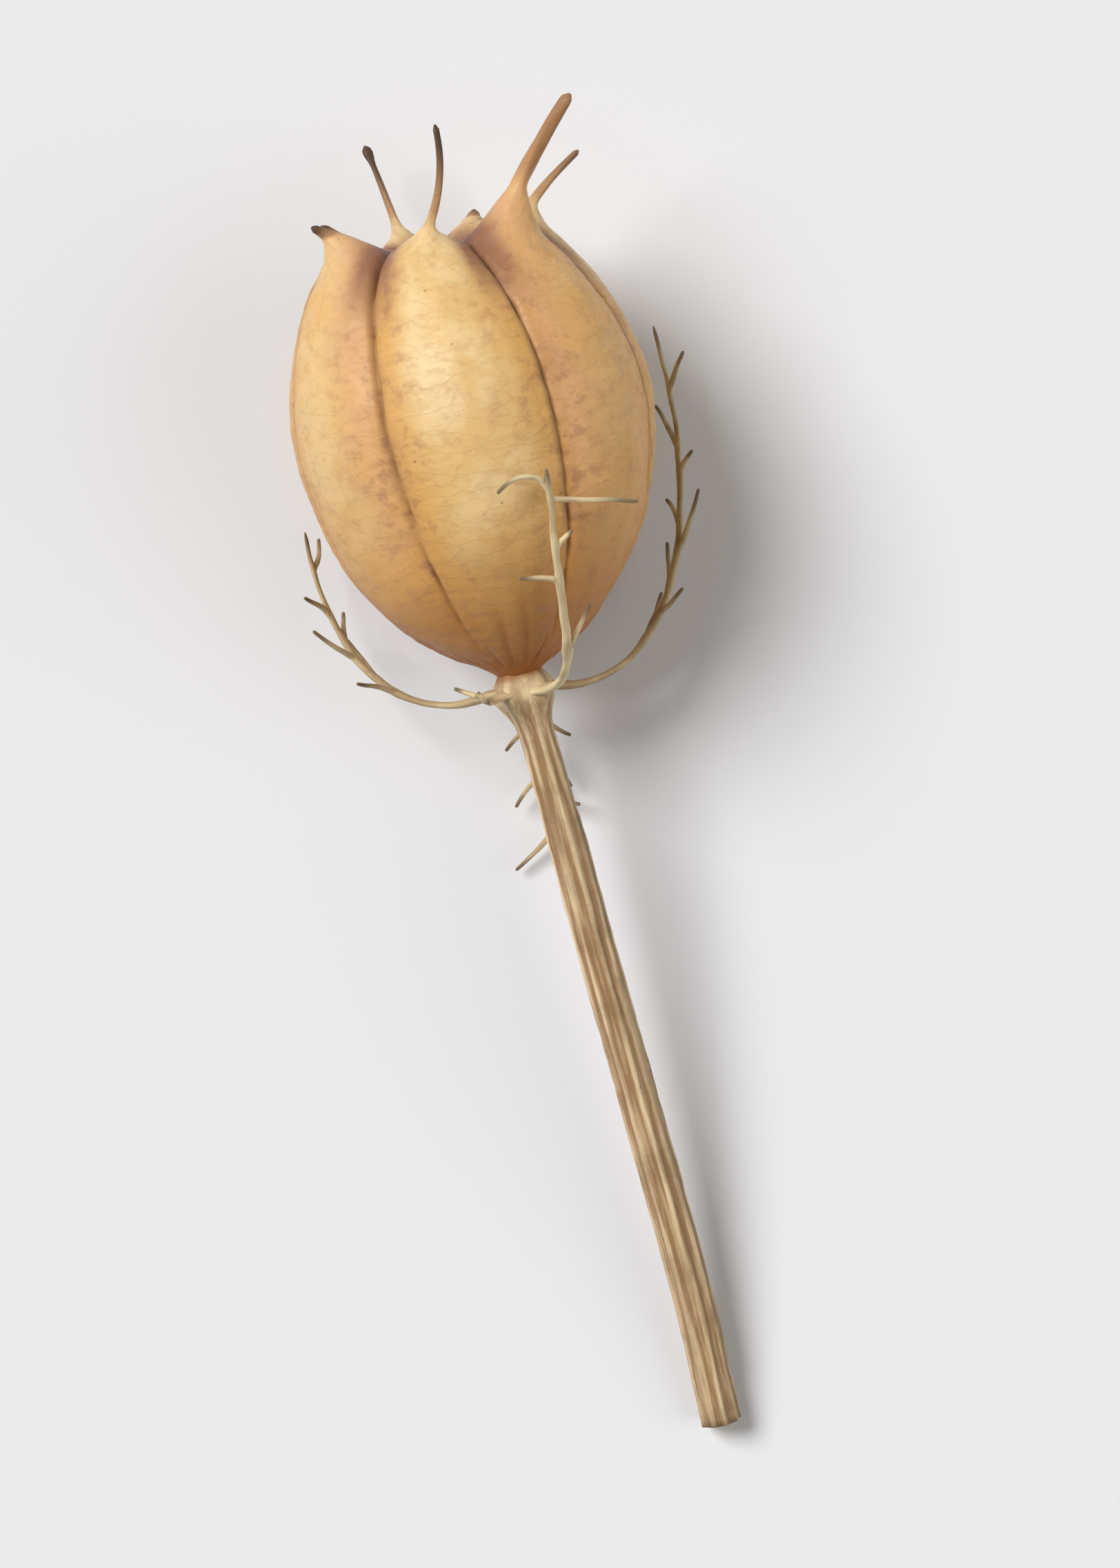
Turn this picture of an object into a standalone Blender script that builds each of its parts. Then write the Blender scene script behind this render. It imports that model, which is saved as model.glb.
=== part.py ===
"""Nigella seed pod, as picked: a lobed papery capsule with its styles, thread-like bracts and a cut stalk.

The pod is worked out standing up in its own frame, with the capsule's base at the origin, +Z up its axis
and -Y to its front. It is then laid on its side on the plane Z = 0, its front up and its crown towards +Y.
It rests on two of its lobes and on the cut end of its stalk.
"""

import math
import random
from dataclasses import dataclass

import bmesh
import bpy
import numpy as np
from mathutils import Matrix, Vector, noise
from mathutils.geometry import interpolate_bezier

MM = 0.001

# Capsule outline from the base to the middle of the crown.
# Each point is the distance from the axis, the height and the depth of the grooves between the lobes.
OUTLINE_MM = (
    (0.0, 0.0, 0.0),
    (1.5, 0.0, 0.0),
    (4.1, 1.1, 0.12),
    (7.0, 3.8, 0.28),
    (9.4, 7.8, 0.45),
    (10.7, 13.0, 0.6),
    (10.5, 17.4, 0.72),
    (9.35, 21.2, 0.82),
    (7.5, 24.1, 0.95),
    (5.3, 25.6, 1.05),
    (3.0, 25.1, 0.8),
    (0.0, 24.2, 0.0),
)
OUTLINE_STEPS = 16          # points worked out between two points of the outline
NORMAL_REACH = 0.01         # share of the outline over which the wall's direction is measured
RIM_SHARE = 0.855           # how far along the outline the lobes' tips stand
LOBES = 7
LOBE_ROUNDNESS = 0.75       # below 1 rounds the lobes and sharpens the grooves
FRONT_SPREAD = 0.1          # how much wider the front lobes are than the back ones
LOBE_TWIST = math.radians(-10)     # turn of the lobes round the axis from the base to the crown
TWIST_MIDDLE = 0.45         # share of the outline where the lobes stand unturned
CROWN_DRIFT = -0.55 * MM    # how far the crown leans to the left
DRIFT_START, DRIFT_END = 0.5, 0.85
COLUMNS_PER_LOBE = 8
OUTLINE_RINGS = 34
DENT_DEPTH = 0.22 * MM      # gentle unevenness of the papery wall
DENT_SIZE = 6.5 * MM
DENT_FADE_RADIUS = 4 * MM   # nearer to the axis than this the dents fade out

PEAK_WIDTH = 1.35 * MM      # reach of the cone that each lobe draws up into its style
STYLE_TIP_RADIUS = 0.3 * MM
STYLE_SIDES = 7
STYLE_STEPS = 7
STYLE_ROOT = 1.3 * MM       # length of style sunk into its lobe
STYLE_TAPER = 1.3           # above 1 thins the style quickly above its lobe
STYLE_STRAIGHT = 0.2        # share of its length before it begins to bend
STYLE_BEND = 0.5            # share of its length where the bend's handle stands

LYING_TILT = math.radians(5.0)     # crown end higher, because the base narrows to the stalk
LYING_HEADING = math.radians(-2.1)
REST_FLAT = 0.16 * MM              # how much of the lobes is pressed flat where they rest

STALK_LENGTH = 47.0 * MM
STALK_TOP_RADIUS = 0.9 * MM
STALK_END_RADIUS = 1.2 * MM
STALK_WIDENING = 8 * MM            # distance over which it widens below the knot
STALK_RIBS = 9
STALK_RIB_HEIGHT = 0.09            # as a share of the radius
STALK_STEPS = 30
STALK_NECK_TURN = math.radians(5.0)
STALK_END_TURN = math.radians(1.5)
STALK_END_SLOPE = math.radians(12.0)
KNOT_RADIUS = 1.5 * MM             # swelling that the bracts grow from
KNOT_DEPTH = 1.3 * MM              # its distance below the top of the stalk
KNOT_LENGTH = 1.1 * MM
KNOT_RINGS = (0.0, 0.4 * MM, 0.8 * MM, 1.2 * MM)
JOINT_GAP = 0.3 * MM

THREAD_RADIUS = 0.3 * MM
THREAD_SIDES = 5
RACHIS_RADIUS = 0.42 * MM
RACHIS_STEPS = 12
TWIG_STEPS = 5
LOWEST_TWIG, HIGHEST_TWIG = 0.36, 0.95     # stretch of the rachis, as shares, that bears twigs
CAPSULE_CLEARANCE = 0.9 * MM
FLOOR_CLEARANCE = 0.5 * MM


@dataclass
class Style:
    """The horn-like style on one lobe; angles in degrees, lengths in millimetres."""

    lobe: int
    lean: float
    turn: float
    length: float
    radius: float
    curl: float
    peak: float


@dataclass
class Twig:
    """A side thread: its place on the rachis, side, length in millimetres and angles in degrees."""

    share: float
    side: int
    length: float
    spread: float
    curl: float


@dataclass
class Bract:
    """One thread-like bract; its course is four Bezier points of distance from the axis and height."""

    name: str
    azimuth: float
    swing: float
    course: tuple
    twigs: tuple


def drawn_twigs(count, longest, seed):
    """Side threads by turns on either side, with their lengths and angles drawn from a seed."""
    draw = random.Random(seed)
    twigs = []
    for index in range(count):
        share = LOWEST_TWIG + (HIGHEST_TWIG - LOWEST_TWIG) * (index + draw.uniform(0.1, 0.7)) / count
        length = longest * draw.uniform(0.5, 1.0)
        twigs.append(Twig(share, (-1) ** index, length, draw.uniform(35, 70), draw.uniform(-45, 30)))
    return tuple(twigs)


STYLES = (
    Style(lobe=0, lean=36, turn=75, length=6.9, radius=0.5, curl=-40, peak=0.5),
    Style(lobe=1, lean=32, turn=18, length=8.7, radius=0.8, curl=14, peak=2.1),
    Style(lobe=2, lean=46, turn=-8, length=5.4, radius=0.5, curl=10, peak=1.1),
    Style(lobe=3, lean=48, turn=12, length=1.3, radius=0.5, curl=10, peak=0.4),
    Style(lobe=4, lean=20, turn=13, length=6.2, radius=0.5, curl=4, peak=0.5),
    Style(lobe=5, lean=36, turn=10, length=2.1, radius=0.5, curl=12, peak=1.1),
    Style(lobe=6, lean=50, turn=-14, length=2.6, radius=0.7, curl=8, peak=1.3),
)

FRONT_TWIGS = (
    Twig(share=0.46, side=1, length=3.2, spread=38, curl=-10),
    Twig(share=0.74, side=-1, length=2.7, spread=66, curl=14),
    Twig(share=0.83, side=1, length=1.4, spread=60, curl=0),
    Twig(share=0.93, side=1, length=5.5, spread=98, curl=8),
    Twig(share=0.96, side=-1, length=3.6, spread=42, curl=105),
)

BRACTS = (
    Bract("bract_1", 48, -30, ((1.95, -1.6), (5.2, -1.6), (9.6, 1.6), (12.0, 11.5)), FRONT_TWIGS),
    Bract("bract_2", 103, 8, ((1.95, -1.6), (8.0, -3.4), (14.0, 4.0), (12.2, 18.0)), drawn_twigs(8, 4.8, 8)),
    Bract("bract_3", -106, -8, ((1.95, -1.6), (7.0, -3.0), (12.0, 1.0), (12.0, 9.5)), drawn_twigs(6, 4.4, 5)),
    Bract("bract_4", -36, 6, ((1.95, -1.6), (3.0, -2.0), (4.2, -1.9), (4.9, -0.9)), drawn_twigs(2, 2.0, 2)),
    Bract("bract_5", 166, 10, ((1.95, -1.7), (4.8, -2.2), (7.2, -5.0), (7.0, -13.0)), drawn_twigs(6, 3.8, 9)),
)

CAPSULE_FINISH = ("capsule_skin", (0.72, 0.47, 0.18), 0.55)
STALK_FINISH = ("stalk_skin", (0.45, 0.32, 0.16), 0.7)
BRACT_FINISH = ("bract_skin", (0.55, 0.42, 0.24), 0.75)


def clear_scene():
    """Removes every object of the scene that is there at the start."""
    for item in list(bpy.data.objects):
        bpy.data.objects.remove(item)


def make_material(finish):
    """A plain dry-plant material from a name, a colour and a roughness."""
    name, colour, roughness = finish
    material = bpy.data.materials.new(name)
    material.use_nodes = True
    shader = material.node_tree.nodes["Principled BSDF"]
    shader.inputs["Base Color"].default_value = (*colour, 1.0)
    shader.inputs["Roughness"].default_value = roughness
    shader.inputs["Metallic"].default_value = 0.0
    return material


def make_object(name, bm):
    """Turns an edited mesh into an object of the scene and frees the edited mesh."""
    mesh = bpy.data.meshes.new(name)
    bm.to_mesh(mesh)
    bm.free()
    item = bpy.data.objects.new(name, mesh)
    bpy.context.scene.collection.objects.link(item)
    return item


def finish_object(item, finish, sharp_angle=50):
    """Gives an object its material and shades it smooth."""
    item.data.materials.clear()
    item.data.materials.append(make_material(finish))
    item.data.shade_smooth()
    item.data.set_sharp_from_angle(angle=math.radians(sharp_angle))


def smooth_through(points, steps):
    """Points of one smooth curve that passes through the given points."""
    curve = []
    last = len(points) - 1
    for index in range(last):
        start, end = points[index], points[index + 1]
        before, after = points[max(index - 1, 0)], points[min(index + 2, last)]
        handle_start = start + (end - before) / 6
        handle_end = end - (after - start) / 6
        curve += interpolate_bezier(start, handle_start, handle_end, end, steps + 1)[:-1]
    return curve + [points[last]]


class Outline:
    """The capsule's outline, read by the share of its length from the base to the middle of the crown."""

    def __init__(self, points):
        curve = smooth_through([Vector(point) * MM for point in points], OUTLINE_STEPS)
        self.values = np.array([tuple(point) for point in curve])
        steps = np.linalg.norm(np.diff(self.values[:, :2], axis=0), axis=1)
        self.shares = np.concatenate(([0.0], np.cumsum(steps))) / steps.sum()

    def at(self, share):
        """Distance from the axis, height and groove depth."""
        return [float(np.interp(share, self.shares, column)) for column in self.values.T]

    def outward(self, share):
        """The direction straight out of the wall, as (away from the axis, up)."""
        radius_a, height_a, _ = self.at(max(share - NORMAL_REACH, 0.0))
        radius_b, height_b, _ = self.at(min(share + NORMAL_REACH, 1.0))
        return Vector((height_b - height_a, radius_a - radius_b)).normalized()

    def radius_at_height(self, height):
        """The wall's distance from the axis at a height, below the rim."""
        rising = self.values[self.shares <= RIM_SHARE]
        return float(np.interp(height, rising[:, 1], rising[:, 0]))


OUTLINE = Outline(OUTLINE_MM)


def azimuth_of(phase, share):
    """Angle round the axis, from the front towards the right, of a lobe phase; front lobes are wider."""
    return phase + FRONT_SPREAD * math.sin(phase) + LOBE_TWIST * (share - TWIST_MIDDLE)


def around(azimuth, radius, height):
    """A point of the pod's frame from its angle round the axis, distance from it and height."""
    return Vector((radius * math.sin(azimuth), -radius * math.cos(azimuth), height))


def crown_drift(share):
    """How far the wall stands to the side at a share of the outline, easing in towards the crown."""
    rise = min(1.0, max(0.0, (share - DRIFT_START) / (DRIFT_END - DRIFT_START)))
    return Vector((CROWN_DRIFT * rise * rise * (3 - 2 * rise), 0, 0))


def lobe_wall(share, phase):
    """A point of the lobed wall before the styles are drawn up out of it."""
    radius, height, groove = OUTLINE.at(share)
    outward = OUTLINE.outward(share)
    azimuth = azimuth_of(phase, share)
    bulge = abs(math.cos(LOBES * phase / 2)) ** LOBE_ROUNDNESS
    sunk = groove * (1 - bulge)
    point = around(azimuth, radius - sunk * outward.x, height - sunk * outward.y)
    dent = noise.noise(point / DENT_SIZE) * DENT_DEPTH * min(1.0, radius / DENT_FADE_RADIUS)
    return point + around(azimuth, dent * outward.x, dent * outward.y) + crown_drift(share)


def style_frame(style):
    """Where a style leaves its lobe, and its directions at the root and at the tip."""
    phase = 2 * math.pi * style.lobe / LOBES
    azimuth = azimuth_of(phase, RIM_SHARE)
    foot = lobe_wall(RIM_SHARE, phase)
    out, aside = around(azimuth, 1, 0), around(azimuth + math.pi / 2, 1, 0)
    turn = math.radians(style.turn)
    sideways = out * math.cos(turn) + aside * math.sin(turn)
    directions = []
    for lean in (style.lean, style.lean + style.curl):
        angle = math.radians(lean)
        directions.append(Vector((0, 0, math.cos(angle))) + sideways * math.sin(angle))
    return foot, directions[0], directions[1]


def draw_up(point, frames):
    """Moves a point of the wall outwards where a lobe is drawn up into its style."""
    moved = point.copy()
    for style, (foot, root_direction, _) in zip(STYLES, frames):
        nearness = math.exp(-((point - foot).length / PEAK_WIDTH) ** 2)
        moved += root_direction * style.peak * MM * nearness
    return moved


def add_tube(bm, points, radii, sides, ribs=0, rib_heights=None):
    """Adds a closed tube along points, with its radius and the height of its ribs at each."""
    side = (points[1] - points[0]).orthogonal()
    last = len(points) - 1
    rings = []
    for index, centre in enumerate(points):
        ahead = (points[min(index + 1, last)] - points[max(index - 1, 0)]).normalized()
        side = (side - ahead * side.dot(ahead)).normalized()
        across = ahead.cross(side)
        ring = []
        for step in range(sides):
            angle = 2 * math.pi * step / sides
            radius = radii[index]
            if ribs:
                radius *= 1 + rib_heights[index] * math.cos(ribs * angle)
            ring.append(bm.verts.new(centre + radius * (side * math.cos(angle) + across * math.sin(angle))))
        rings.append(ring)
    for lower, upper in zip(rings, rings[1:]):
        for step in range(sides):
            following = (step + 1) % sides
            bm.faces.new((lower[step], lower[following], upper[following], upper[step]))
    bm.faces.new(list(reversed(rings[0])))
    bm.faces.new(rings[-1])


def tube_object(name, points, radii, sides):
    """A tube as an object of its own, for a union."""
    bm = bmesh.new()
    add_tube(bm, points, radii, sides)
    return make_object(name, bm)


def unite(item, pieces):
    """Joins pieces to an object in one Boolean union, and removes the pieces."""
    group = bpy.data.collections.new(item.name + "_pieces")
    for piece in pieces:
        group.objects.link(piece)
    union = item.modifiers.new("union", "BOOLEAN")
    union.operation = "UNION"
    union.operand_type = "COLLECTION"
    union.collection = group
    union.solver = "EXACT"
    bpy.context.view_layer.update()
    view = bpy.context.evaluated_depsgraph_get()
    joined = bpy.data.meshes.new_from_object(item.evaluated_get(view))
    item.modifiers.remove(union)
    item.data = joined
    for piece in pieces:
        bpy.data.objects.remove(piece)
    bpy.data.collections.remove(group)


def capsule_mesh(frames):
    """The lobed wall, shaped from a sphere whose rings follow the outline."""
    bm = bmesh.new()
    bmesh.ops.create_uvsphere(
        bm, u_segments=LOBES * COLUMNS_PER_LOBE, v_segments=OUTLINE_RINGS, radius=1.0)
    for vertex in bm.verts:
        share = 1 - math.acos(max(-1.0, min(1.0, vertex.co.z))) / math.pi
        phase = math.atan2(vertex.co.y, vertex.co.x)
        vertex.co = draw_up(lobe_wall(share, phase), frames)
    bmesh.ops.recalc_face_normals(bm, faces=bm.faces)
    return bm


def style_objects(frames):
    """One tapered tube for each style, its root sunk into the lobe."""
    pieces = []
    for style, (foot, root_direction, tip_direction) in zip(STYLES, frames):
        length = style.length * MM
        start = foot - root_direction * STYLE_ROOT
        straight = foot + root_direction * length * STYLE_STRAIGHT
        bend = foot + root_direction * length * STYLE_BEND
        tip = bend + tip_direction * length * (1 - STYLE_BEND)
        points = interpolate_bezier(start, straight, bend, tip, STYLE_STEPS)
        radii = []
        for step in range(STYLE_STEPS):
            taper = (1 - step / (STYLE_STEPS - 1)) ** STYLE_TAPER
            radii.append(STYLE_TIP_RADIUS + (style.radius * MM - STYLE_TIP_RADIUS) * taper)
        pieces.append(tube_object(f"style_{style.lobe}", points, radii, STYLE_SIDES))
    return pieces


def lie_down(capsule):
    """Turns the capsule onto its side, presses its lowest lobes flat on the floor; returns the turn."""
    turn = Matrix.Rotation(LYING_HEADING, 4, "Z") @ Matrix.Rotation(LYING_TILT - math.pi / 2, 4, "X")
    lowest = min((turn @ vertex.co).z for vertex in capsule.data.vertices)
    placed = Matrix.Translation((0, 0, -lowest - REST_FLAT)) @ turn
    capsule.data.transform(placed)
    for vertex in capsule.data.vertices:
        vertex.co.z = max(vertex.co.z, 0.0)
    return placed


def build_capsule():
    """The capsule with its styles as one solid, lying down."""
    frames = [style_frame(style) for style in STYLES]
    capsule = make_object("capsule", capsule_mesh(frames))
    unite(capsule, style_objects(frames))
    placed = lie_down(capsule)
    finish_object(capsule, CAPSULE_FINISH)
    return capsule, placed


def build_stalk(placed):
    """The ribbed stalk, from just below the capsule down to its cut end on the floor."""
    top = placed @ Vector((0, 0, -JOINT_GAP))
    down = (placed.to_3x3() @ Vector((0, 0, -1))).normalized()
    neck_direction = Vector((math.sin(STALK_NECK_TURN), down.y, down.z)).normalized()
    end_direction = Vector((math.sin(STALK_END_TURN), -1, -math.tan(STALK_END_SLOPE))).normalized()
    mean_turn = (STALK_NECK_TURN + STALK_END_TURN) / 2
    end_height = STALK_END_RADIUS * math.cos(STALK_END_SLOPE)
    drop = end_height - top.z
    run = math.sqrt(STALK_LENGTH ** 2 - drop ** 2)
    end = top + Vector((run * math.sin(mean_turn), -run * math.cos(mean_turn), drop))
    third = STALK_LENGTH / 3
    leaving, arriving = top + neck_direction * third, end - end_direction * third
    points = interpolate_bezier(top, leaving, arriving, end, STALK_STEPS)
    knot_points = [top + down * distance for distance in KNOT_RINGS]
    points = knot_points + [point for point in points if (point - top).length > KNOT_RINGS[-1] + JOINT_GAP]
    radii, ribs = [], []
    for point in points:
        distance = (point - top).length
        swelling = math.exp(-((distance - KNOT_DEPTH) / KNOT_LENGTH) ** 2)
        narrowing = (STALK_END_RADIUS - STALK_TOP_RADIUS) * math.exp(-distance / STALK_WIDENING)
        radius = STALK_END_RADIUS - narrowing
        radii.append(radius + (KNOT_RADIUS - radius) * swelling)
        ribs.append(STALK_RIB_HEIGHT * (1 - swelling))
    bm = bmesh.new()
    add_tube(bm, points, radii, 2 * STALK_RIBS, STALK_RIBS, ribs)
    for vertex in bm.verts:
        vertex.co.z = max(vertex.co.z, 0.0)
    stalk = make_object("stalk", bm)
    finish_object(stalk, STALK_FINISH, 70)
    return stalk


def keep_clear(point):
    """Moves a point of a bract away from the capsule's wall, in the pod's frame."""
    distance = math.hypot(point.x, point.y)
    if point.z < 0 or distance == 0:
        return point
    needed = OUTLINE.radius_at_height(point.z) + CAPSULE_CLEARANCE
    if distance >= needed:
        return point
    return Vector((point.x * needed / distance, point.y * needed / distance, point.z))


def rachis_points(bract):
    """The middle thread of a bract, in the pod's frame."""
    course = [Vector((radius, height)) * MM for radius, height in bract.course]
    flat = interpolate_bezier(*course, RACHIS_STEPS)
    points = []
    for step, (radius, height) in enumerate(flat):
        share = step / (RACHIS_STEPS - 1)
        azimuth = math.radians(bract.azimuth + bract.swing * share * (2 - share))
        points.append(around(azimuth, radius, height))
    return points


def twig_points(start, along, aside, twig):
    """A side thread that leaves the rachis at an angle and curls as it goes."""
    point = start
    points = [start]
    for step in range(TWIG_STEPS):
        angle = math.radians(twig.spread + twig.curl * step / TWIG_STEPS)
        direction = along * math.cos(angle) + aside * twig.side * math.sin(angle)
        point = point + direction * twig.length * MM / TWIG_STEPS
        points.append(keep_clear(point))
    return points


def bract_threads(bract):
    """The threads of one bract as pairs of points and radii: first the rachis, then its twigs."""
    rachis = rachis_points(bract)
    taper = np.linspace(RACHIS_RADIUS, THREAD_RADIUS, RACHIS_STEPS)
    threads = [(rachis, [float(radius) for radius in taper])]
    for twig in bract.twigs:
        place = twig.share * (RACHIS_STEPS - 1)
        lower = int(place)
        start = rachis[lower].lerp(rachis[lower + 1], place - lower)
        along = (rachis[lower + 1] - rachis[lower]).normalized()
        aside = Vector((start.x, start.y, 0)).cross(along).normalized()
        points = twig_points(start, along, -aside, twig)
        threads.append((points, [THREAD_RADIUS] * len(points)))
    return threads


def build_bract(bract, placed):
    """One bract as a solid, laid down with the capsule and kept off the floor."""
    tubes = []
    for index, (points, radii) in enumerate(bract_threads(bract)):
        laid = [placed @ point for point in points]
        for point in laid:
            point.z = max(point.z, FLOOR_CLEARANCE + THREAD_RADIUS)
        name = bract.name if index == 0 else f"{bract.name}_twig_{index}"
        tubes.append(tube_object(name, laid, radii, THREAD_SIDES))
    unite(tubes[0], tubes[1:])
    finish_object(tubes[0], BRACT_FINISH)
    return tubes[0]


def stand_on_origin(items):
    """Parents the nodes to one empty, which brings the middle of their footprint to the origin."""
    corners = [vertex.co for item in items for vertex in item.data.vertices]
    middle_x = (min(corner.x for corner in corners) + max(corner.x for corner in corners)) / 2
    middle_y = (min(corner.y for corner in corners) + max(corner.y for corner in corners)) / 2
    pod = bpy.data.objects.new("nigella_seed_pod", None)
    bpy.context.scene.collection.objects.link(pod)
    pod.location = (-middle_x, -middle_y, 0)
    for item in items:
        item.parent = pod


def main():
    """Builds the nodes and sets them on the origin."""
    clear_scene()
    capsule, placed = build_capsule()
    nodes = [capsule, build_stalk(placed)]
    nodes += [build_bract(bract, placed) for bract in BRACTS]
    stand_on_origin(nodes)


main()
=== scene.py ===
"""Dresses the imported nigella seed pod: its papery capsule, ribbed stalk and thread-like bracts.

The pod is worked out standing up in its own frame, with the capsule's base at the origin, +Z up its axis
and -Y to its front, as its solids were. Each piece is then laid down where its solid lies, on a pale
floor, and the camera looks straight down on its front.
"""

import logging
import math
import random
from collections.abc import Iterable, Iterator
from contextlib import contextmanager
from dataclasses import dataclass
from enum import Enum
from functools import cached_property
from typing import Any

import bmesh
import bpy
import numpy as np
from mathutils import Matrix, Vector, noise


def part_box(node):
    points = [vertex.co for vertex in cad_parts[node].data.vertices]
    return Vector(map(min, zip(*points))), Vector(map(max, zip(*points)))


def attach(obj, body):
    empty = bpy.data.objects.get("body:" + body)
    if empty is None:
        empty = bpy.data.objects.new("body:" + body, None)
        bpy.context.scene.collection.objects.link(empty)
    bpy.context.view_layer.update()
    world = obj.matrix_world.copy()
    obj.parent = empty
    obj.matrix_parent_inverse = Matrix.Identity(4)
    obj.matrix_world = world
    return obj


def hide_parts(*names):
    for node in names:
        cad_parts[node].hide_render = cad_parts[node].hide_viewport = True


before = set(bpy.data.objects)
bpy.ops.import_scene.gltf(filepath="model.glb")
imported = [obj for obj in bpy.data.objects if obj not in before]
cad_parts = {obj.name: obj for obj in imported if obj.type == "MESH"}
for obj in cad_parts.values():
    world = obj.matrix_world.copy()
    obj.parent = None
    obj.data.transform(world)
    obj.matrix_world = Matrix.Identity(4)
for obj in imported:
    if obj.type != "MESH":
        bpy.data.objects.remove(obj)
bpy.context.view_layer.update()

LOG = logging.getLogger("seed_pod")
MM = 0.001
FULL_TURN = 2 * math.pi

Array = np.ndarray
Colour = tuple[int, int, int]
Socket = bpy.types.NodeSocket


class Slot(Enum):
    """The record's material slots."""

    CAPSULE = "capsule"
    STALK = "stalk"
    BRACT = "bract"


class Side(Enum):
    """The side of its rachis that a twig leaves from, seen from outside the pod."""

    LEFT = -1
    RIGHT = 1


class Tip(Enum):
    """How a style ends."""

    POINTED = "pointed"
    KNOBBED = "knobbed"
    BROKEN = "broken"


def srgb(colour: Colour) -> tuple[float, float, float, float]:
    """Turns red, green and blue from 0 to 255, as seen on a screen, into the shader's linear colour."""
    linear = [((part / 255 + 0.055) / 1.055) ** 2.4 if part > 10 else part / 3295 for part in colour]
    return (*linear, 1.0)


def smoothstep(low: float, high: float, value: Array) -> Array:
    """Eases from 0 at low to 1 at high, which may be below low for a step down."""
    part = np.clip((value - low) / (high - low), 0.0, 1.0)
    return part * part * (3 - 2 * part)


def hump(value: Array, width: float) -> Array:
    """A soft hump of height 1 round zero, as wide as width on each side."""
    return np.exp(-(value / width) ** 2)


def lengths(vectors: Array) -> Array:
    """The length of each vector, kept as a column."""
    return np.linalg.norm(vectors, axis=-1, keepdims=True)


def distances(points: Array) -> Array:
    """Distance of each point along the line through all of them."""
    return np.concatenate(([0.0], np.cumsum(lengths(np.diff(points, axis=0))[:, 0])))


def noise_at(places: Array, size: float) -> Array:
    """Smooth noise from -1 to 1 at each point, in patches of about the given size."""
    return np.array([noise.noise(Vector(place)) for place in places / size])


def noise_of(*columns: Any) -> Array:
    """Smooth noise from -1 to 1 of three coordinates, each given as a column or one number."""
    return noise_at(np.stack(np.broadcast_arrays(*columns), axis=-1), 1.0)


def around(azimuth: Array, radius: Array, height: Array) -> Array:
    """Points of the pod's frame; the azimuth turns round its axis from the front towards the right."""
    azimuth, radius, height = np.broadcast_arrays(azimuth, radius, height)
    return np.stack((radius * np.sin(azimuth), -radius * np.cos(azimuth), height), axis=-1)


def bezier(handles: Array, steps: int) -> Array:
    """Points of a cubic Bezier curve.

    Args:
        handles: its start, two handles and end, one a row.
        steps: how many points to work out.

    Returns:
        One point a row.
    """
    share = np.linspace(0.0, 1.0, steps)[:, None]
    start, leaving, arriving, end = handles
    rest = 1 - share
    return (rest ** 3 * start + 3 * rest ** 2 * share * leaving
            + 3 * rest * share ** 2 * arriving + share ** 3 * end)


def smooth_through(points: Array, steps: int) -> Array:
    """Points of one smooth curve through given points.

    Args:
        points: the points to pass through, one a row.
        steps: how many points to work out from each to the next.

    Returns:
        One point a row.
    """
    padded = np.vstack((points[:1], points, points[-1:]))
    curve = []
    for before, start, end, after in zip(padded, padded[1:], padded[2:], padded[3:]):
        handles = (start, start + (end - before) / 6, end - (after - start) / 6, end)
        curve.append(bezier(handles, steps + 1)[:-1])
    return np.vstack((*curve, points[-1:]))


@dataclass(frozen=True)
class Sweep:
    """A centreline and two directions square to it, all read by the distance along it."""

    points: Array
    right: Array
    up: Array

    @classmethod
    def along(cls, points: Array, first_right: Array) -> "Sweep":
        """Carries a direction along a centreline without twisting it.

        Args:
            points: the centreline, one point a row.
            first_right: the direction that is to the right of the line where it starts.

        Returns:
            The sweep.
        """
        ahead = np.gradient(points, axis=0)
        ahead /= lengths(ahead)
        rights = []
        right = np.asarray(first_right, float)
        for direction in ahead:
            right = right - direction * (right @ direction)
            right = right / np.linalg.norm(right)
            rights.append(right)
        return cls(points, np.array(rights), np.cross(ahead, rights))

    @cached_property
    def distance(self) -> Array:
        """Distance of each point along the line."""
        return distances(self.points)

    @property
    def length(self) -> float:
        """Length of the whole line."""
        return float(self.distance[-1])

    def read(self, values: Array, distance: Array) -> Array:
        """One of the sweep's tables at given distances along the line."""
        return np.stack([np.interp(distance, self.distance, column) for column in values.T], axis=-1)

    def place(self, distance: Array, rightwards: Array, upwards: Array) -> Array:
        """Points beside the line, by the distance along it, to its right and above it."""
        return (self.read(self.points, distance)
                + self.read(self.right, distance) * np.expand_dims(rightwards, -1)
                + self.read(self.up, distance) * np.expand_dims(upwards, -1))


def rows_of(items: Any, name: str) -> Array:
    """Reads a vector of each item of a mesh.

    Args:
        items: the mesh's vertices or faces.
        name: Blender's name for the vector.

    Returns:
        One vector a row.
    """
    values = np.empty(len(items) * 3)
    items.foreach_get(name, values)
    return values.reshape(-1, 3)


def places_of(mesh: bpy.types.Mesh) -> Array:
    """Where the vertices of a mesh are, one a row."""
    return rows_of(mesh.vertices, "co")


def face_centres(mesh: bpy.types.Mesh) -> Array:
    """The middle of each face of a mesh, one a row."""
    return rows_of(mesh.polygons, "center")


def move_to(mesh: bpy.types.Mesh, places: Array) -> None:
    """Moves the vertices of a mesh to new places, one a row."""
    mesh.vertices.foreach_set("co", places.ravel())
    mesh.update()


def give_attributes(mesh: bpy.types.Mesh, **given: Array) -> None:
    """Stores numbers or vectors for each vertex, for the materials to read.

    Args:
        mesh: the mesh that gets them.
        given: one number or one vector for each vertex, by the attribute's name.
    """
    for name, values in given.items():
        kind, field = ("FLOAT", "value") if values.ndim == 1 else ("FLOAT_VECTOR", "vector")
        mesh.attributes.new(name, kind, "POINT").data.foreach_set(field, values.ravel())


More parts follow.
